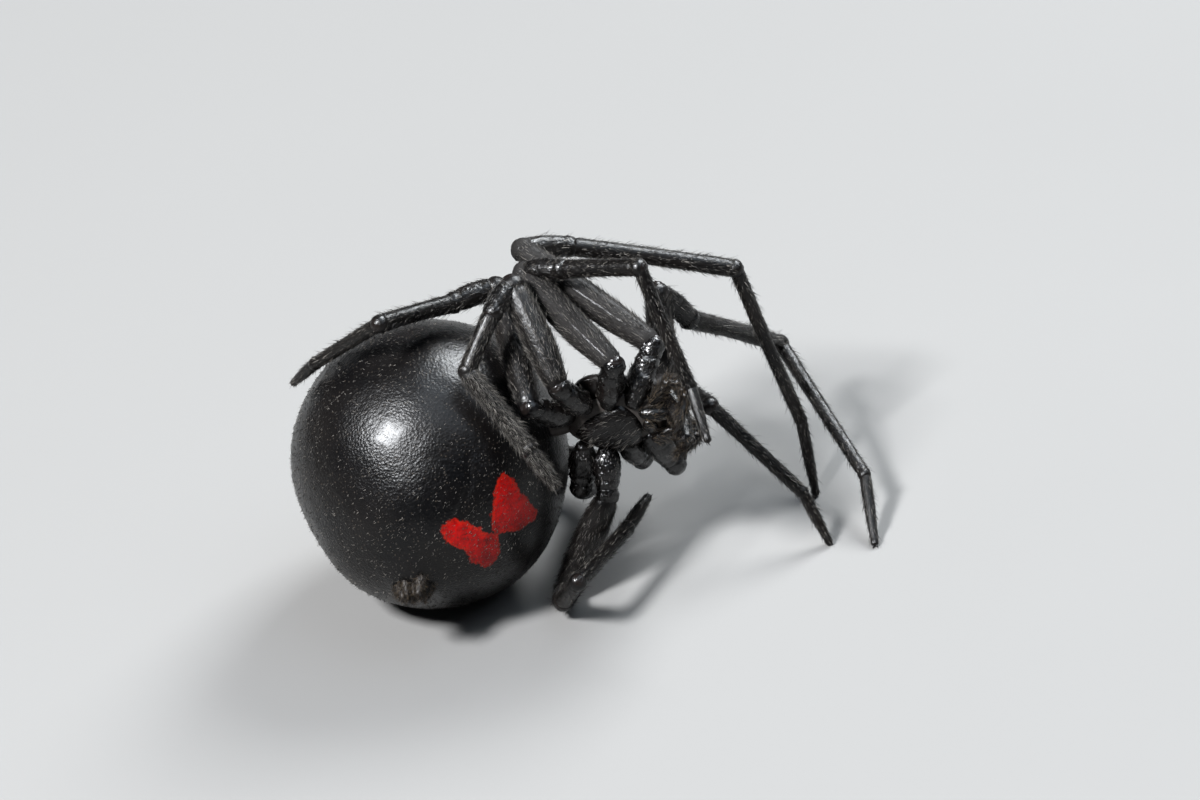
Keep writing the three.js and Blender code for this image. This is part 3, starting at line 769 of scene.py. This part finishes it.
def group(name, inputs, outputs):
    """An empty shader group, with its input and output nodes."""
    tree = bpy.data.node_groups.new(name, "ShaderNodeTree")
    for socket, kind, default in inputs:
        made = tree.interface.new_socket(socket, in_out="INPUT", socket_type=kind)
        made.default_value = default
    for socket, kind in outputs:
        tree.interface.new_socket(socket, in_out="OUTPUT", socket_type=kind)
    return tree, tree.nodes.new("NodeGroupInput").outputs, tree.nodes.new("NodeGroupOutput").inputs


def object_place(tree):
    return node(tree, "ShaderNodeTexCoord").outputs["Object"]


def cloudy(tree, place, scale, detail=2.0, **settings):
    """Soft noise from 0 to 1."""
    return node(tree, "ShaderNodeTexNoise", {
        "Vector": place, "Scale": scale, "Detail": detail, **settings,
    }).outputs["Fac"]


def grain_group():
    """Leathery grain: fine cells over soft creases."""
    if "Grain" in bpy.data.node_groups:
        return bpy.data.node_groups["Grain"]
    tree, given, out = group(
        "Grain", (("Cells", "NodeSocketFloat", 9000.0), ("Creases", "NodeSocketFloat", 1500.0)),
        (("Height", "NodeSocketFloat"), ("Patches", "NodeSocketFloat"), ("Flecks", "NodeSocketFloat")))
    place = object_place(tree)
    # Pale flecks: partly dust, partly painted glints of short hairs
    dust = node(tree, "ShaderNodeTexVoronoi", {"Vector": place, "Scale": FLECK_SCALE})
    lot = node(tree, "ShaderNodeSeparateColor", {0: dust.outputs["Color"]}).outputs[0]
    spot = ranged(tree, dust.outputs["Distance"], *FLECK_FADE, 1.0, 0.0)
    link(tree, maths(tree, "MULTIPLY", spot, ranged(tree, lot, *FLECK_CHANCE)), out["Flecks"])
    cells = node(tree, "ShaderNodeTexVoronoi", {"Vector": place, "Scale": given["Cells"]})
    creases = cloudy(tree, place, given["Creases"], 5.0, Roughness=0.6)
    fine = maths(tree, "MULTIPLY", cells.outputs["Distance"], CELL_SHARE)
    link(tree, maths(tree, "ADD", fine, creases), out["Height"])
    link(tree, cloudy(tree, place, SKIN_PATCHES, 3.0), out["Patches"])
    return tree


def ridge_group():
    """Fine ridges that run along a segment, with pores between them and knobs where it is glossy."""
    if "Ridges" in bpy.data.node_groups:
        return bpy.data.node_groups["Ridges"]
    tree, given, out = group(
        "Ridges", (("Lines", "NodeSocketFloat", 11.0), ("Pores", "NodeSocketFloat", 9000.0)),
        (("Height", "NodeSocketFloat"), ("Patches", "NodeSocketFloat")))
    fibre = node(tree, "ShaderNodeAttribute", attribute_name="fibre").outputs["Vector"]
    lines = cloudy(tree, fibre, given["Lines"], 3.0)
    place = object_place(tree)
    pores = cloudy(tree, place, given["Pores"], 2.0)
    fine = maths(tree, "ADD", lines, maths(tree, "MULTIPLY", pores, PORE_SHARE))
    lumps = cloudy(tree, place, KNOB_SCALE, 3.0, Distortion=1.0)
    knobs = maths(tree, "MULTIPLY", lumps, maths(tree, "MULTIPLY", stored_value(tree, "gloss"), KNOB_SHARE))
    link(tree, maths(tree, "ADD", fine, knobs), out["Height"])
    link(tree, cloudy(tree, place, LEG_PATCHES, 3.0), out["Patches"])
    return tree


def blended(tree, factor, first, second):
    """A colour between two others."""
    made = node(tree, "ShaderNodeMix", data_type="RGBA")
    for value, at in ((factor, 0), (first, 6), (second, 7)):
        if isinstance(value, bpy.types.NodeSocket):
            link(tree, value, made.inputs[at])
        else:
            made.inputs[at].default_value = value
    return made.outputs[2]


def ranged(tree, value, low, high, new_low=0.0, new_high=1.0):
    """A value moved from one range to another."""
    return node(tree, "ShaderNodeMapRange", {
        "Value": value, "From Min": low, "From Max": high, "To Min": new_low, "To Max": new_high,
    }).outputs[0]


def stored_value(tree, name):
    """What a skin or a hair holds at each place under this name."""
    return node(tree, "ShaderNodeAttribute", attribute_name=name).outputs["Fac"]


def new_material(name, coat=0.0, coat_roughness=0.1, specular=0.5):
    """A new material, its node tree and its shader, with the values that are even all over."""
    material = bpy.data.materials.new(name)
    material.use_nodes = True
    tree = material.node_tree
    shader = tree.nodes["Principled BSDF"]
    shader.inputs["Coat Weight"].default_value = coat
    shader.inputs["Coat Roughness"].default_value = coat_roughness
    shader.inputs["Specular IOR Level"].default_value = specular
    return material, tree, shader


def bumped(tree, shader, height, strength, distance):
    bump = node(tree, "ShaderNodeBump", {"Height": height, "Strength": strength, "Distance": distance})
    link(tree, bump.outputs[0], shader.inputs["Normal"])


def use_group(tree, made, **inputs):
    used = node(tree, "ShaderNodeGroup", node_tree=made)
    for key, value in inputs.items():
        used.inputs[key].default_value = value
    return used.outputs


def abdomen_finish():
    material, tree, shader = new_material("abdomen skin", coat_roughness=0.2, specular=0.2)
    grain = use_group(tree, grain_group(), Cells=11000.0, Creases=7000.0)
    skin = blended(tree, ranged(tree, grain["Patches"], *TONE_PATCHES), tint("abdomen"), WARM_ABDOMEN)
    ragged = cloudy(tree, object_place(tree), RAGGED_SCALE, 5.0, Roughness=0.7)
    edge = maths(tree, "ADD", stored_value(tree, "tone"), ranged(tree, ragged, 0.25, 0.75, *MARK_RAGGED))
    inside = ranged(tree, edge, *MARK_EDGE)
    red = blended(tree, ranged(tree, edge, *MARK_DEEP), tint("mark_edge"), tint("mark"))
    mottled = blended(tree, ranged(tree, ragged, *MARK_MOTTLING, *MARK_MOTTLED), red, MARK_MOTTLE)
    clean = blended(tree, inside, skin, mottled)
    # Pale flecks over the skin: partly dust, partly painted glints of short hairs
    link(tree, blended(tree, grain["Flecks"], clean, tint("dust")), shader.inputs["Base Color"])
    link(tree, ranged(tree, inside, 0.0, 1.0, 0.08, 0.0), shader.inputs["Coat Weight"])
    link(tree, ranged(tree, grain["Patches"], *ROUGH_PATCHES, 0.28, 0.38), shader.inputs["Roughness"])
    bumped(tree, shader, grain["Height"], 1.0, 0.00002)
    return material


def shell_finish():
    material, tree, shader = new_material("glossy shell", specular=0.35)
    grain = use_group(tree, grain_group(), Cells=6000.0, Creases=900.0)
    skin = blended(tree, ranged(tree, grain["Patches"], 0.4, 0.75), tint("shell"), WARM_SHELL)
    link(tree, skin, shader.inputs["Base Color"])
    link(tree, ranged(tree, grain["Patches"], *ROUGH_PATCHES, 0.26, 0.38), shader.inputs["Roughness"])
    bumped(tree, shader, grain["Height"], 0.6, 0.00003)
    return material


def leg_finish():
    material, tree, shader = new_material("leg skin", coat_roughness=0.14, specular=0.23)
    ridges = use_group(tree, ridge_group())
    skin = blended(tree, ranged(tree, ridges["Patches"], *TONE_PATCHES), tint("leg"), WARM_LEG)
    dust = stored_value(tree, "dust")
    skin = blended(tree, maths(tree, "MULTIPLY", dust, ridges["Patches"]), skin, LEG_DUST)
    skin = blended(tree, stored_value(tree, "tone"), skin, tint("membrane"))
    link(tree, skin, shader.inputs["Base Color"])
    even = ranged(tree, ridges["Patches"], *ROUGH_PATCHES, 0.22, 0.3)
    gloss = stored_value(tree, "gloss")
    link(tree, maths(tree, "MULTIPLY", gloss, GLOSS_COAT), shader.inputs["Coat Weight"])
    wet = maths(tree, "MULTIPLY", gloss, GLOSS_WET)
    dull = maths(tree, "MULTIPLY", dust, DUST_DULL)
    link(tree, maths(tree, "ADD", maths(tree, "ADD", even, wet), dull), shader.inputs["Roughness"])
    bumped(tree, shader, ridges["Height"], 0.4, 0.00003)
    return material


def hair_finish(name):
    material, tree, shader = new_material(name, specular=0.2)
    pale_from, palest = HAIRS[name]
    shade = stored_value(tree, "shade")
    pale = ranged(tree, shade, pale_from, 1.0)
    link(tree, blended(tree, pale, tint("hair"), tint(palest)), shader.inputs["Base Color"])
    link(tree, ranged(tree, shade, 0.0, 1.0, 0.34, 0.5), shader.inputs["Roughness"])
    return material


def soft_finish():
    material, tree, shader = new_material("soft brown parts", specular=0.25)
    grain = use_group(tree, grain_group(), Cells=9000.0, Creases=3000.0)
    skin = blended(tree, ranged(tree, grain["Patches"], *ROUGH_PATCHES), SOFT_DARK, SOFT_PALE)
    link(tree, skin, shader.inputs["Base Color"])
    link(tree, ranged(tree, grain["Patches"], *ROUGH_PATCHES, 0.4, 0.6), shader.inputs["Roughness"])
    bumped(tree, shader, grain["Height"], 0.5, 0.00004)
    return material


def eye_finish():
    material, tree, shader = new_material("eye", coat=1.0, coat_roughness=0.02)
    depth = cloudy(tree, object_place(tree), EYE_SCALE)
    link(tree, blended(tree, depth, EYE_DARK, EYE_PALE), shader.inputs["Base Color"])
    link(tree, ranged(tree, depth, 0.0, 1.0, 0.04, 0.1), shader.inputs["Roughness"])
    return material


def floor_finish():
    material, tree, shader = new_material("studio floor", specular=0.3)
    cloud = cloudy(tree, object_place(tree), CLOUD_SCALE, 4.0)
    darker = (*(FLOOR_SHADE * part for part in tint("floor")[:3]), 1)
    link(tree, blended(tree, cloud, tint("floor"), darker), shader.inputs["Base Color"])
    link(tree, ranged(tree, cloud, 0.0, 1.0, 0.65, 0.8), shader.inputs["Roughness"])
    return material


FINISHES = {
    "abdomen": abdomen_finish, "shell": shell_finish, "leg": leg_finish, "soft": soft_finish,
    "eye": eye_finish, "floor": floor_finish,
}
_made = {}


def finish(name):
    """The finish with a short name, made once."""
    if name not in _made:
        _made[name] = hair_finish(name) if name in HAIRS else FINISHES[name]()
    return _made[name]


# Abdomen

def abdomen_reach(way):
    """Distance from the abdomen's centre to its skin in directions of its own frame."""
    share = np.maximum(0, (way @ SAG_TOWARD - SAG_FROM) / (1 - SAG_FROM))
    return ABDOMEN_RADIUS * (1 + SAG * smooth(share))


def line_distance(points, line):
    """How far points are from a line through places."""
    line = np.asarray(line, float)
    nearest = np.full(points.shape[:-1], np.inf)
    for a, b in zip(line[:-1], line[1:]):
        edge, gap = b - a, points - a
        share = np.clip(gap @ edge / (edge @ edge), 0, 1)
        nearest = np.minimum(nearest, np.linalg.norm(gap - share[..., None] * edge, axis=-1))
    return nearest


def outline_distance(points, outline):
    """How far points lie inside a closed outline, and below zero outside it."""
    closed = np.asarray((*outline, outline[0]), float)
    inside = np.zeros(points.shape[:-1], bool)
    for a, b in zip(closed[:-1], closed[1:]):
        crosses = (a[1] > points[..., 1]) != (b[1] > points[..., 1])
        with np.errstate(divide="ignore", invalid="ignore"):
            at = a[0] + (points[..., 1] - a[1]) * (b[0] - a[0]) / (b[1] - a[1])
        inside ^= crosses & (points[..., 0] < at)
    nearest = line_distance(points, closed)
    return np.where(inside, nearest, -nearest)


def abdomen_skin():
    shape = {}

    def placed(way, _):
        reach = abdomen_reach(way)
        flat = reach[..., None] * way
        below = way[..., 2] < 0
        fold = np.exp(-((line_distance(flat[..., :2], BELLY_FOLD) / FOLD_WIDTH) ** 2)) * below
        dimples = sum(roughness_of(way, scale, shift) * depth for scale, shift, depth in DIMPLES)
        away = np.linalg.norm(flat - SPINNERET_WAY * ABDOMEN_RADIUS, axis=-1)
        mound = SPINNERET_MOUND * np.exp(-((away / MOUND_REACH) ** 2))
        reach = reach + dimples - FOLD_DEPTH * fold + mound
        marks = np.max([outline_distance(flat[..., :2], mark) for mark in MARKS], axis=0)
        shape["mark"] = np.where(below, np.clip(marks, -1, 1), -1)
        return reach[..., None] * way

    grid, way = ball_grid(ABDOMEN_CENTRE, (1, 1, 1), ABDOMEN_AXES, ABDOMEN_ROWS, ABDOMEN_COLUMNS, placed)
    behind = np.array([-1.0, 0, 0])
    lie = behind - way * (way @ behind)[..., None]
    skin = Skin()
    skin.add(no_lower_than_floor(grid), lie=lie @ ABDOMEN_AXES.T, tone=shape["mark"], **FULL_HAIR)
    return skin.made("abdomen_skin", "abdomen")


def spinneret_skin():
    way = SPINNERET_WAY
    forward = np.array([math.cos(SPINNERET_BEHIND), 0, -math.sin(SPINNERET_BEHIND)])
    axes = ABDOMEN_AXES @ np.stack([forward, np.cross(way, forward), way], axis=1)
    seat = in_abdomen(way * (abdomen_reach(way[None])[0] + SPINNERET_MOUND * MOUND_SEAT))
    skin = Skin()
    pairs = [(ahead, flank * aside, *size) for ahead, aside, *size in SPINNERET_CONES for _, flank in FLANKS]
    cones = (*pairs, ANAL_TUBERCLE)
    for i, (ahead, aside, length, radius) in enumerate(cones):
        root = np.array([ahead, aside, CONE_ROOT]) @ axes.T + seat
        tip = np.array([ahead * CONE_LEAN[0], aside * CONE_LEAN[1], length]) @ axes.T + seat
        radii = [radius * share for share in CONE_TAPER]
        grid, _, _, axis = tube_grid(root, tip, radii, axes[:, 0], 20, 0.03)
        skin.add(no_lower_than_floor(grid), band(i, len(cones)), lie=axis, **FULL_HAIR)
    return skin.made("spinneret_skin", "soft")


def pedicel_skin():
    ends = [WAIST + HEAD_AXES[:, 0] * at for at in PEDICEL_ENDS]
    radii = [PEDICEL_RADIUS * share for share in PEDICEL_WAVES]
    grid, _, _, axis = tube_grid(*ends, radii, HEAD_AXES[:, 2], 32, 0.04, rough=PEDICEL_ROUGH)
    skin = Skin()
    skin.add(grid, lie=axis)
    return skin.made("pedicel_skin", "soft")


class AbdomenMaker(bpy.types.Operator):
    """Make the abdomen's skin with its red mark, its short hair and the waist"""

    bl_idname = "figure.abdomen"
    bl_label = "Abdomen"

    def execute(self, context):
        skin = settled(abdomen_skin(), "abdomen_skin", "abdomen", "hourglass")
        grow_coat("abdomen_hair", skin, "abdomen_skin")
        grow_coat("abdomen_pale_hair", skin, "abdomen_skin")
        settled(pedicel_skin(), "soft_brown", "pedicel")
        return {"FINISHED"}


class SpinneretMaker(bpy.types.Operator):
    """Make the spinnerets with their fuzz"""

    bl_idname = "figure.spinnerets"
    bl_label = "Spinnerets"

    def execute(self, context):
        skin = settled(spinneret_skin(), "soft_brown", "spinnerets")
        grow_coat("spinneret_hair", skin, "soft_brown")
        return {"FINISHED"}


# Cephalothorax

def end_round(stations, x):
    """How far a shell keeps its full size at a place, so that its ends are blunt and closed."""
    start, end = stations[0][0], stations[-1][0]
    share = (2 * (x - start)) / (end - start) - 1
    return np.sqrt(np.maximum(0, 1 - np.abs(share) ** BLUNTNESS))


def station_sizes(stations, x):
    """Half the width, the height and the depth at a place."""
    places = [s[0] for s in stations]
    return [eased(x, places, [s[k] for s in stations]) * end_round(stations, x) for k in (1, 2, 3)]


def station_grid(stations, rim, rows, columns, shape=None):
    """A closed shell through stations, with poles on the body's length."""
    start, end = stations[0][0], stations[-1][0]
    down = np.linspace(0, math.pi, rows)
    x = (start + end) / 2 + np.cos(down) * (end - start) / 2
    width, top, bottom = (size[:, None] for size in station_sizes(stations, x))
    around = angles(columns)[None]
    side, up = np.cos(around), np.sin(around)
    z = rim + np.where(up > 0, top, bottom) * up
    grid = np.stack([np.repeat(x[:, None], columns, 1), width * side, z], axis=-1)
    if shape:
        grid = shape(grid, up)
    return grid


def carapace_roof(x, y):
    """The height of the carapace's back, where an eye sits."""
    width, top, _ = station_sizes(CARAPACE, np.array([x]))
    return CARAPACE_RIM + top[0] * math.sqrt(max(0, 1 - (y / width[0]) ** 2))


def carapace_shape(grid, up):
    """The pit at the middle of the back and the shallow furrows that run out from it."""
    x, y = grid[..., 0] - FOVEA_AT, grid[..., 1]
    away = np.hypot(x, y)
    grid[..., 2] -= np.where(up > 0, FOVEA_DEPTH * smooth(1 - away / FOVEA_RADIUS), 0)
    bearing = np.arctan2(np.abs(y), x)
    furrow = np.zeros_like(away)
    for angle in FURROWS:
        aside = (bearing - math.radians(angle)) * away
        begins = smooth((away - FURROW_START) / FURROW_RISE)
        ends = smooth((FURROW_END - away) / FURROW_FALL)
        furrow += np.exp(-((aside / FURROW_WIDTH) ** 2)) * begins * ends
    grid[..., 2] -= np.where(up > 0.15, FURROW_DEPTH * furrow, 0)
    return grid


class CephalothoraxMaker(bpy.types.Operator):
    """Make the carapace, the eyes, the sternum and the soft skin round it"""

    bl_idname = "figure.cephalothorax"
    bl_label = "Cephalothorax"

    def execute(self, context):
        forward = HEAD_AXES[:, 0]
        back = Skin()
        grid = in_head(station_grid(CARAPACE, CARAPACE_RIM, 110, 140, carapace_shape))
        back.add(grid, lie=forward, **FULL_HAIR)
        carapace = settled(back.made("carapace_shell", "shell"), "shell_gloss", "carapace")
        grow_coat("carapace_hair", carapace, "shell_gloss")
        eyes = Skin()
        for x, y in EYES:
            for _, flank in FLANKS:
                centre = in_head((x, y, carapace_roof(x, y) - EYE_SINK), flank)
                ball, _ = ball_grid(centre, [EYE_RADIUS] * 3, HEAD_AXES, 16, 24)
                eyes.add(ball)
        settled(eyes.made("eyes", "eye"), "shell_gloss")
        plate = Skin()
        grid = in_head(station_grid(STERNUM, STERNUM_RIM, 60, 90))
        plate.add(grid, lie=-forward, gloss=STERNUM_GLOSS, **FULL_HAIR)
        sternum = settled(plate.made("sternum_plate", "leg"), "leg_black", "sternum")
        grow_coat("sternum_hair", sternum, "leg_black")
        sides = Skin()
        sides.add(in_head(station_grid(SIDES, SIDES_RIM, 60, 90)), lie=forward)
        settled(sides.made("side_membrane", "soft"), "soft_brown")
        return {"FINISHED"}


def lobe_grid(centre, half, turn, flank):
    """A flattened lobe of the mouthparts, turned about the body's back."""
    angle = flank * math.radians(turn)
    c, s = math.cos(angle), math.sin(angle)
    spin = np.array([[c, -s, 0], [s, c, 0], [0, 0, 1]])
    return ball_grid(in_head(centre, flank), half, HEAD_AXES @ spin, 34, 44)[0]


class MouthMaker(bpy.types.Operator):
    """Make the labium, maxillae, chelicerae and fangs"""

    bl_idname = "figure.mouthparts"
    bl_label = "Mouthparts"

    def execute(self, context):
        forward = HEAD_AXES[:, 0]
        lobes = Skin()
        labium = lobe_grid(*LABIUM, LEFT)
        lobes.add(labium, band(0, 3), lie=forward, amount=0.7, reach=0.8, gloss=MOUTH_GLOSS)
        for i, (_, flank) in enumerate(FLANKS, 1):
            maxilla = lobe_grid(*MAXILLA, flank)
            lobes.add(maxilla, band(i, 3), lie=forward, gloss=MOUTH_GLOSS, **FULL_HAIR)
        mouth = lobes.made("mouth_lobes", "leg")
        settled(mouth, "soft_brown", "labium", "maxilla_right", "maxilla_left")
        grow_coat("mouth_hair", mouth, "soft_brown")
        jaws, fangs = Skin(), Skin()
        for i, (_, flank) in enumerate(FLANKS):
            root, tip, end = (in_head(at, flank) for at in (CHELICERA_ROOT, CHELICERA_TIP, FANG_TIP))
            grid, fibre, _, axis = tube_grid(root, tip, CHELICERA_RADII, forward, 36, 0.04,
                                             rough=CHELICERA_ROUGH)
            jaws.add(grid, band(i, len(FLANKS)), lie=axis, fibre=fibre, **FULL_HAIR)
            fangs.add(tube_grid(tip, end, FANG_RADII, forward, 20, 0.02, bow=FANG_BOW, rough=0)[0])
        shells = jaws.made("chelicera_shells", "leg")
        settled(shells, "shell_gloss", "chelicera_right", "chelicera_left")
        grow_coat("chelicera_hair", shells, "shell_gloss")
        settled(fangs.made("fangs", "shell"), "shell_gloss")
        return {"FINISHED"}


def joint_ball(skin, place, radius, axes, patch):
    """The soft skin in a joint, in a few folds round it."""
    def folded(way, reach):
        fold = 1 + JOINT_FOLD * np.cos(JOINT_FOLDS * np.arccos(np.clip(way[..., 0], -1, 1)))
        return reach * fold[..., None]

    ball, _ = ball_grid(place, [radius * JOINT_FLATNESS, radius, radius], axes, 26, 24, folded)
    skin.add(no_lower_than_floor(ball), patch, lie=axes[:, 0], tone=1.0)


class PalpMaker(bpy.types.Operator):
    """Make the two palps with their hair"""

    bl_idname = "figure.palps"
    bl_label = "Palps"

    def execute(self, context):
        for word, flank in FLANKS:
            joints = [in_head(PALP_ROOT, flank)]
            for way, length in zip(PALP_WAYS[word], PALP_LENGTHS):
                step = unit(HEAD_AXES @ (np.array(way) * (1, flank, 1)))
                joints.append(joints[-1] + step * length)
            skin, back = Skin(), HEAD_AXES[:, 2]
            for k, (start, end, radii) in enumerate(zip(joints[:-1], joints[1:], PALP_RADII)):
                grid, fibre, _, axis = tube_grid(start, end, radii, back, 28, 0.04, neck=PALP_NECK)
                skin.add(grid, band(k, len(PALP_RADII)), lie=axis, fibre=fibre, **FULL_HAIR)
            palp = skin.made(f"palp_{word}_skin", "leg")
            settled(palp, "leg_black", f"palp_{word}_femur", f"palp_{word}_tarsus")
            grow_coat(f"palp_{word}_hair", palp, "leg_black")
        return {"FINISHED"}


# Legs

def leg_joints(name):
    """The joints of a leg from the coxa's root to the tip."""
    flank = LEFT if name[0] == "l" else RIGHT
    root, (coxa, *lengths) = PAIRS[int(name[1]) - 1]
    swing, droop = (math.radians(a) for a in LEGS[name][0])
    out = HEAD_AXES @ np.array([
        math.sin(swing) * math.cos(droop), flank * math.cos(swing) * math.cos(droop), -math.sin(droop),
    ])
    root = in_head(root, flank)
    last = root + out * coxa
    joints = {"root": root, "coxa": root + out * coxa * (1 - TROCHANTER_SHARE), "trochanter": last}
    for segment, length, (heading, climb) in zip(SEGMENTS, lengths, LEGS[name][1:]):
        if STANDS.get(name) == segment:
            height = TIP_HEIGHT if segment == "tarsus" else KNEE_HEIGHT
            climb = math.degrees(math.asin((height - last[2]) / length))
        last = last + direction(heading, climb) * length
        joints[segment] = last
    return joints


def leg_back(joints):
    """The outer side of the leg's bend."""
    femur = unit(joints["femur"] - joints["trochanter"])
    tibia = unit(joints["tibia"] - joints["patella"])
    return unit(femur - tibia)


def leg_skin(name):
    """One skin over all segments of a leg, with the soft folds in its joints."""
    joints = leg_joints(name)
    back = leg_back(joints)
    skin = Skin()
    for i, (segment, values) in enumerate(LEG_TUBES.items()):
        start, radii, bow, neck, amount, reach, gloss, dust = values
        if segment in END_SEGMENTS:
            radii = [radius * STOUT_ENDS.get(name, 1) for radius in radii]
        if segment in END_SEGMENTS and name == BRUSHY_LEG:
            amount, reach = amount * BRUSH_AMOUNT, reach * BRUSH_REACH
        if segment == "femur" and name in DULL_FEMORA:
            dust = DULLNESS
        rough = ROUGH + GLOSS_ROUGH * gloss
        grid, fibre, along, axis = tube_grid(
            joints[start], joints[segment], radii, back, LEG_SIDES, LEG_STEP, bow, rough, neck)
        thick = amount * smooth(along / BARE_START) * smooth((1 - along) / BARE_END)
        skin.add(no_lower_than_floor(grid), band(i, len(LEG_TUBES)), lie=axis, amount=thick, reach=reach,
                 gloss=gloss, dust=dust, fibre=fibre)
        if segment != "tarsus":
            axes = np.stack([axis, *across_of(axis, back)], axis=1)
            joint_ball(skin, joints[segment], radii[-1] * JOINT_SHARE, axes, strip(i, len(LEG_TUBES)))
    return skin.made(f"leg_{name}_skin", "leg")


def add_claws(skin, name):
    """Two curved claws at the tip of a leg."""
    joints = leg_joints(name)
    tip = joints["tarsus"]
    axis = unit(tip - joints["metatarsus"])
    back, beside = across_of(axis, leg_back(joints))
    radii = [CLAW_RADIUS * share for share in CLAW_TAPER]
    for side in (-1, 1):
        root = tip + beside * side * CLAW_APART
        end = root + axis * CLAW_LENGTH + beside * side * CLAW_APART
        skin.add(no_lower_than_floor(tube_grid(root, end, radii, back, 12, 0.02, CLAW_BOW, 0)[0]))


class LegMaker(bpy.types.Operator):
    """Make the eight legs with their hair, long bristles and claws"""

    bl_idname = "figure.legs"
    bl_label = "Legs"

    def execute(self, context):
        sizes = context.scene.figure_bristles
        for i, name in enumerate(LEGS):
            skin = settled(leg_skin(name), "leg_black", *(f"leg_{name}_{part}" for part in SEGMENT_NODES))
            # The brushy leg's short hair has more pale hairs, a painted sheen of the light on it
            look = "silver hair" if name == BRUSHY_LEG else "hair"
            grow_bristles(f"leg_{name}_hair", skin, "leg_black", look, Density=sizes.hair_density * 1e6,
                          Length=sizes.hair_length, Thickness=sizes.hair_thickness, Seed=LEG_HAIR_SEED + i,
                          **LEG_HAIR_STYLE)
            grow_bristles(f"leg_{name}_bristles", skin, "leg_black", "hair",
                          Density=sizes.bristle_density * 1e6, Length=sizes.bristle_length,
                          Thickness=sizes.bristle_thickness, Seed=LEG_BRISTLE_SEED + i, **LEG_BRISTLE_STYLE)
        claws = Skin()
        for name in LEGS:
            add_claws(claws, name)
        settled(claws.made("claws", "shell"), "leg_black")
        return {"FINISHED"}


# Studio

def view_axes():
    """Right, up and toward the viewer, as the camera sees them."""
    tilt, roll = math.radians(CAMERA_ELEVATION), math.radians(CAMERA_ROLL)
    toward = np.array([0, -math.cos(tilt), math.sin(tilt)])
    level, above = np.array([1.0, 0, 0]), np.array([0, math.sin(tilt), math.cos(tilt)])
    right = level * math.cos(roll) - above * math.sin(roll)
    return right, np.cross(toward, right), toward


def soft_light(name, power, way, size, shade):
    """A square soft light that looks at the figure from a direction given in the view's own axes."""
    right, up, toward = view_axes()
    out = unit(right * way[0] + up * way[1] + toward * way[2])
    lamp = bpy.data.lights.new(name, "AREA")
    lamp.shape, lamp.size, lamp.energy, lamp.color = "SQUARE", size, power, shade
    holder = bpy.data.objects.new(name, lamp)
    holder.location = Vector((ABDOMEN_CENTRE + out * LAMP_DISTANCE) * MM)
    holder.rotation_euler = Vector(out).to_track_quat("Z", "Y").to_euler()
    bpy.context.scene.collection.objects.link(holder)


class StudioMaker(bpy.types.Operator):
    """Make the floor, the lights and the camera"""

    bl_idname = "figure.studio"
    bl_label = "Studio"

    def execute(self, context):
        studio = context.scene.figure_studio
        half = studio.floor_size / 2
        mesh = bpy.data.meshes.new("studio_floor")
        corners = [(-half, -half, 0), (half, -half, 0), (half, half, 0), (-half, half, 0)]
        mesh.from_pydata(corners, [], [(0, 1, 2, 3)])
        mesh.materials.append(finish("floor"))
        floor = bpy.data.objects.new("studio_floor", mesh)
        context.scene.collection.objects.link(floor)
        for name, lamp in LAMPS.items():
            soft_light(f"{name}_light", getattr(studio, f"{name}_power"), *lamp)
        world = bpy.data.worlds.new("Room")
        world.use_nodes = True
        sky = world.node_tree.nodes["Background"]
        sky.inputs["Color"].default_value = ROOM_TINT
        sky.inputs["Strength"].default_value = studio.surroundings
        context.scene.world = world
        context.scene.view_settings.view_transform = "Standard"
        right, up, toward = view_axes()
        aside = (PHOTO_WIDTH / 2 - ABDOMEN_PIXEL[0]) / PIXELS_PER_MM
        above = (ABDOMEN_PIXEL[1] - PHOTO_HEIGHT / 2) / PIXELS_PER_MM
        target = ABDOMEN_CENTRE + right * aside + up * above
        place = Vector((target + toward * CAMERA_DISTANCE) * MM)
        data = bpy.data.cameras.new("photo_camera")
        data.sensor_width = SENSOR_WIDTH
        data.lens = data.sensor_width * CAMERA_DISTANCE * PIXELS_PER_MM / PHOTO_WIDTH
        data.clip_start, data.clip_end = 0.001, 100
        camera = bpy.data.objects.new("photo_camera", data)
        turn = Matrix(np.stack([right, up, toward], axis=1).tolist())
        camera.matrix_world = Matrix.LocRotScale(place, turn, None)
        context.scene.collection.objects.link(camera)
        context.scene.camera = camera
        return {"FINISHED"}


class FigurePanel(bpy.types.Panel):
    """Lists what makes the figure"""

    bl_idname = "VIEW3D_PT_figure"
    bl_label = "Black Widow Figure"
    bl_space_type = "VIEW_3D"
    bl_region_type = "UI"
    bl_category = "Figure"

    def draw(self, context):
        for maker in MAKERS:
            self.layout.operator(maker.bl_idname)
        for name in GROUPS:
            box = self.layout.box()
            values = getattr(context.scene, name)
            for key in values.__annotations__:
                box.prop(values, key)


MAKERS = (
    StudioMaker, AbdomenMaker, SpinneretMaker, CephalothoraxMaker, MouthMaker, PalpMaker, LegMaker,
)
GROUPS = {
    "figure_colours": FigureColours, "figure_bristles": FigureBristles, "figure_studio": FigureStudio,
}
CLASSES = (*GROUPS.values(), *MAKERS, FigurePanel)


def register():
    for kind in CLASSES:
        bpy.utils.register_class(kind)
    for name, kind in GROUPS.items():
        setattr(bpy.types.Scene, name, bpy.props.PointerProperty(type=kind))


def unregister():
    for name in GROUPS:
        delattr(bpy.types.Scene, name)
    for kind in reversed(CLASSES):
        bpy.utils.unregister_class(kind)


def main():
    register()
    bpy.ops.figure.studio()
    bpy.ops.figure.abdomen()
    bpy.ops.figure.spinnerets()
    bpy.ops.figure.cephalothorax()
    bpy.ops.figure.mouthparts()
    bpy.ops.figure.palps()
    bpy.ops.figure.legs()


if __name__ == "__main__":
    main()
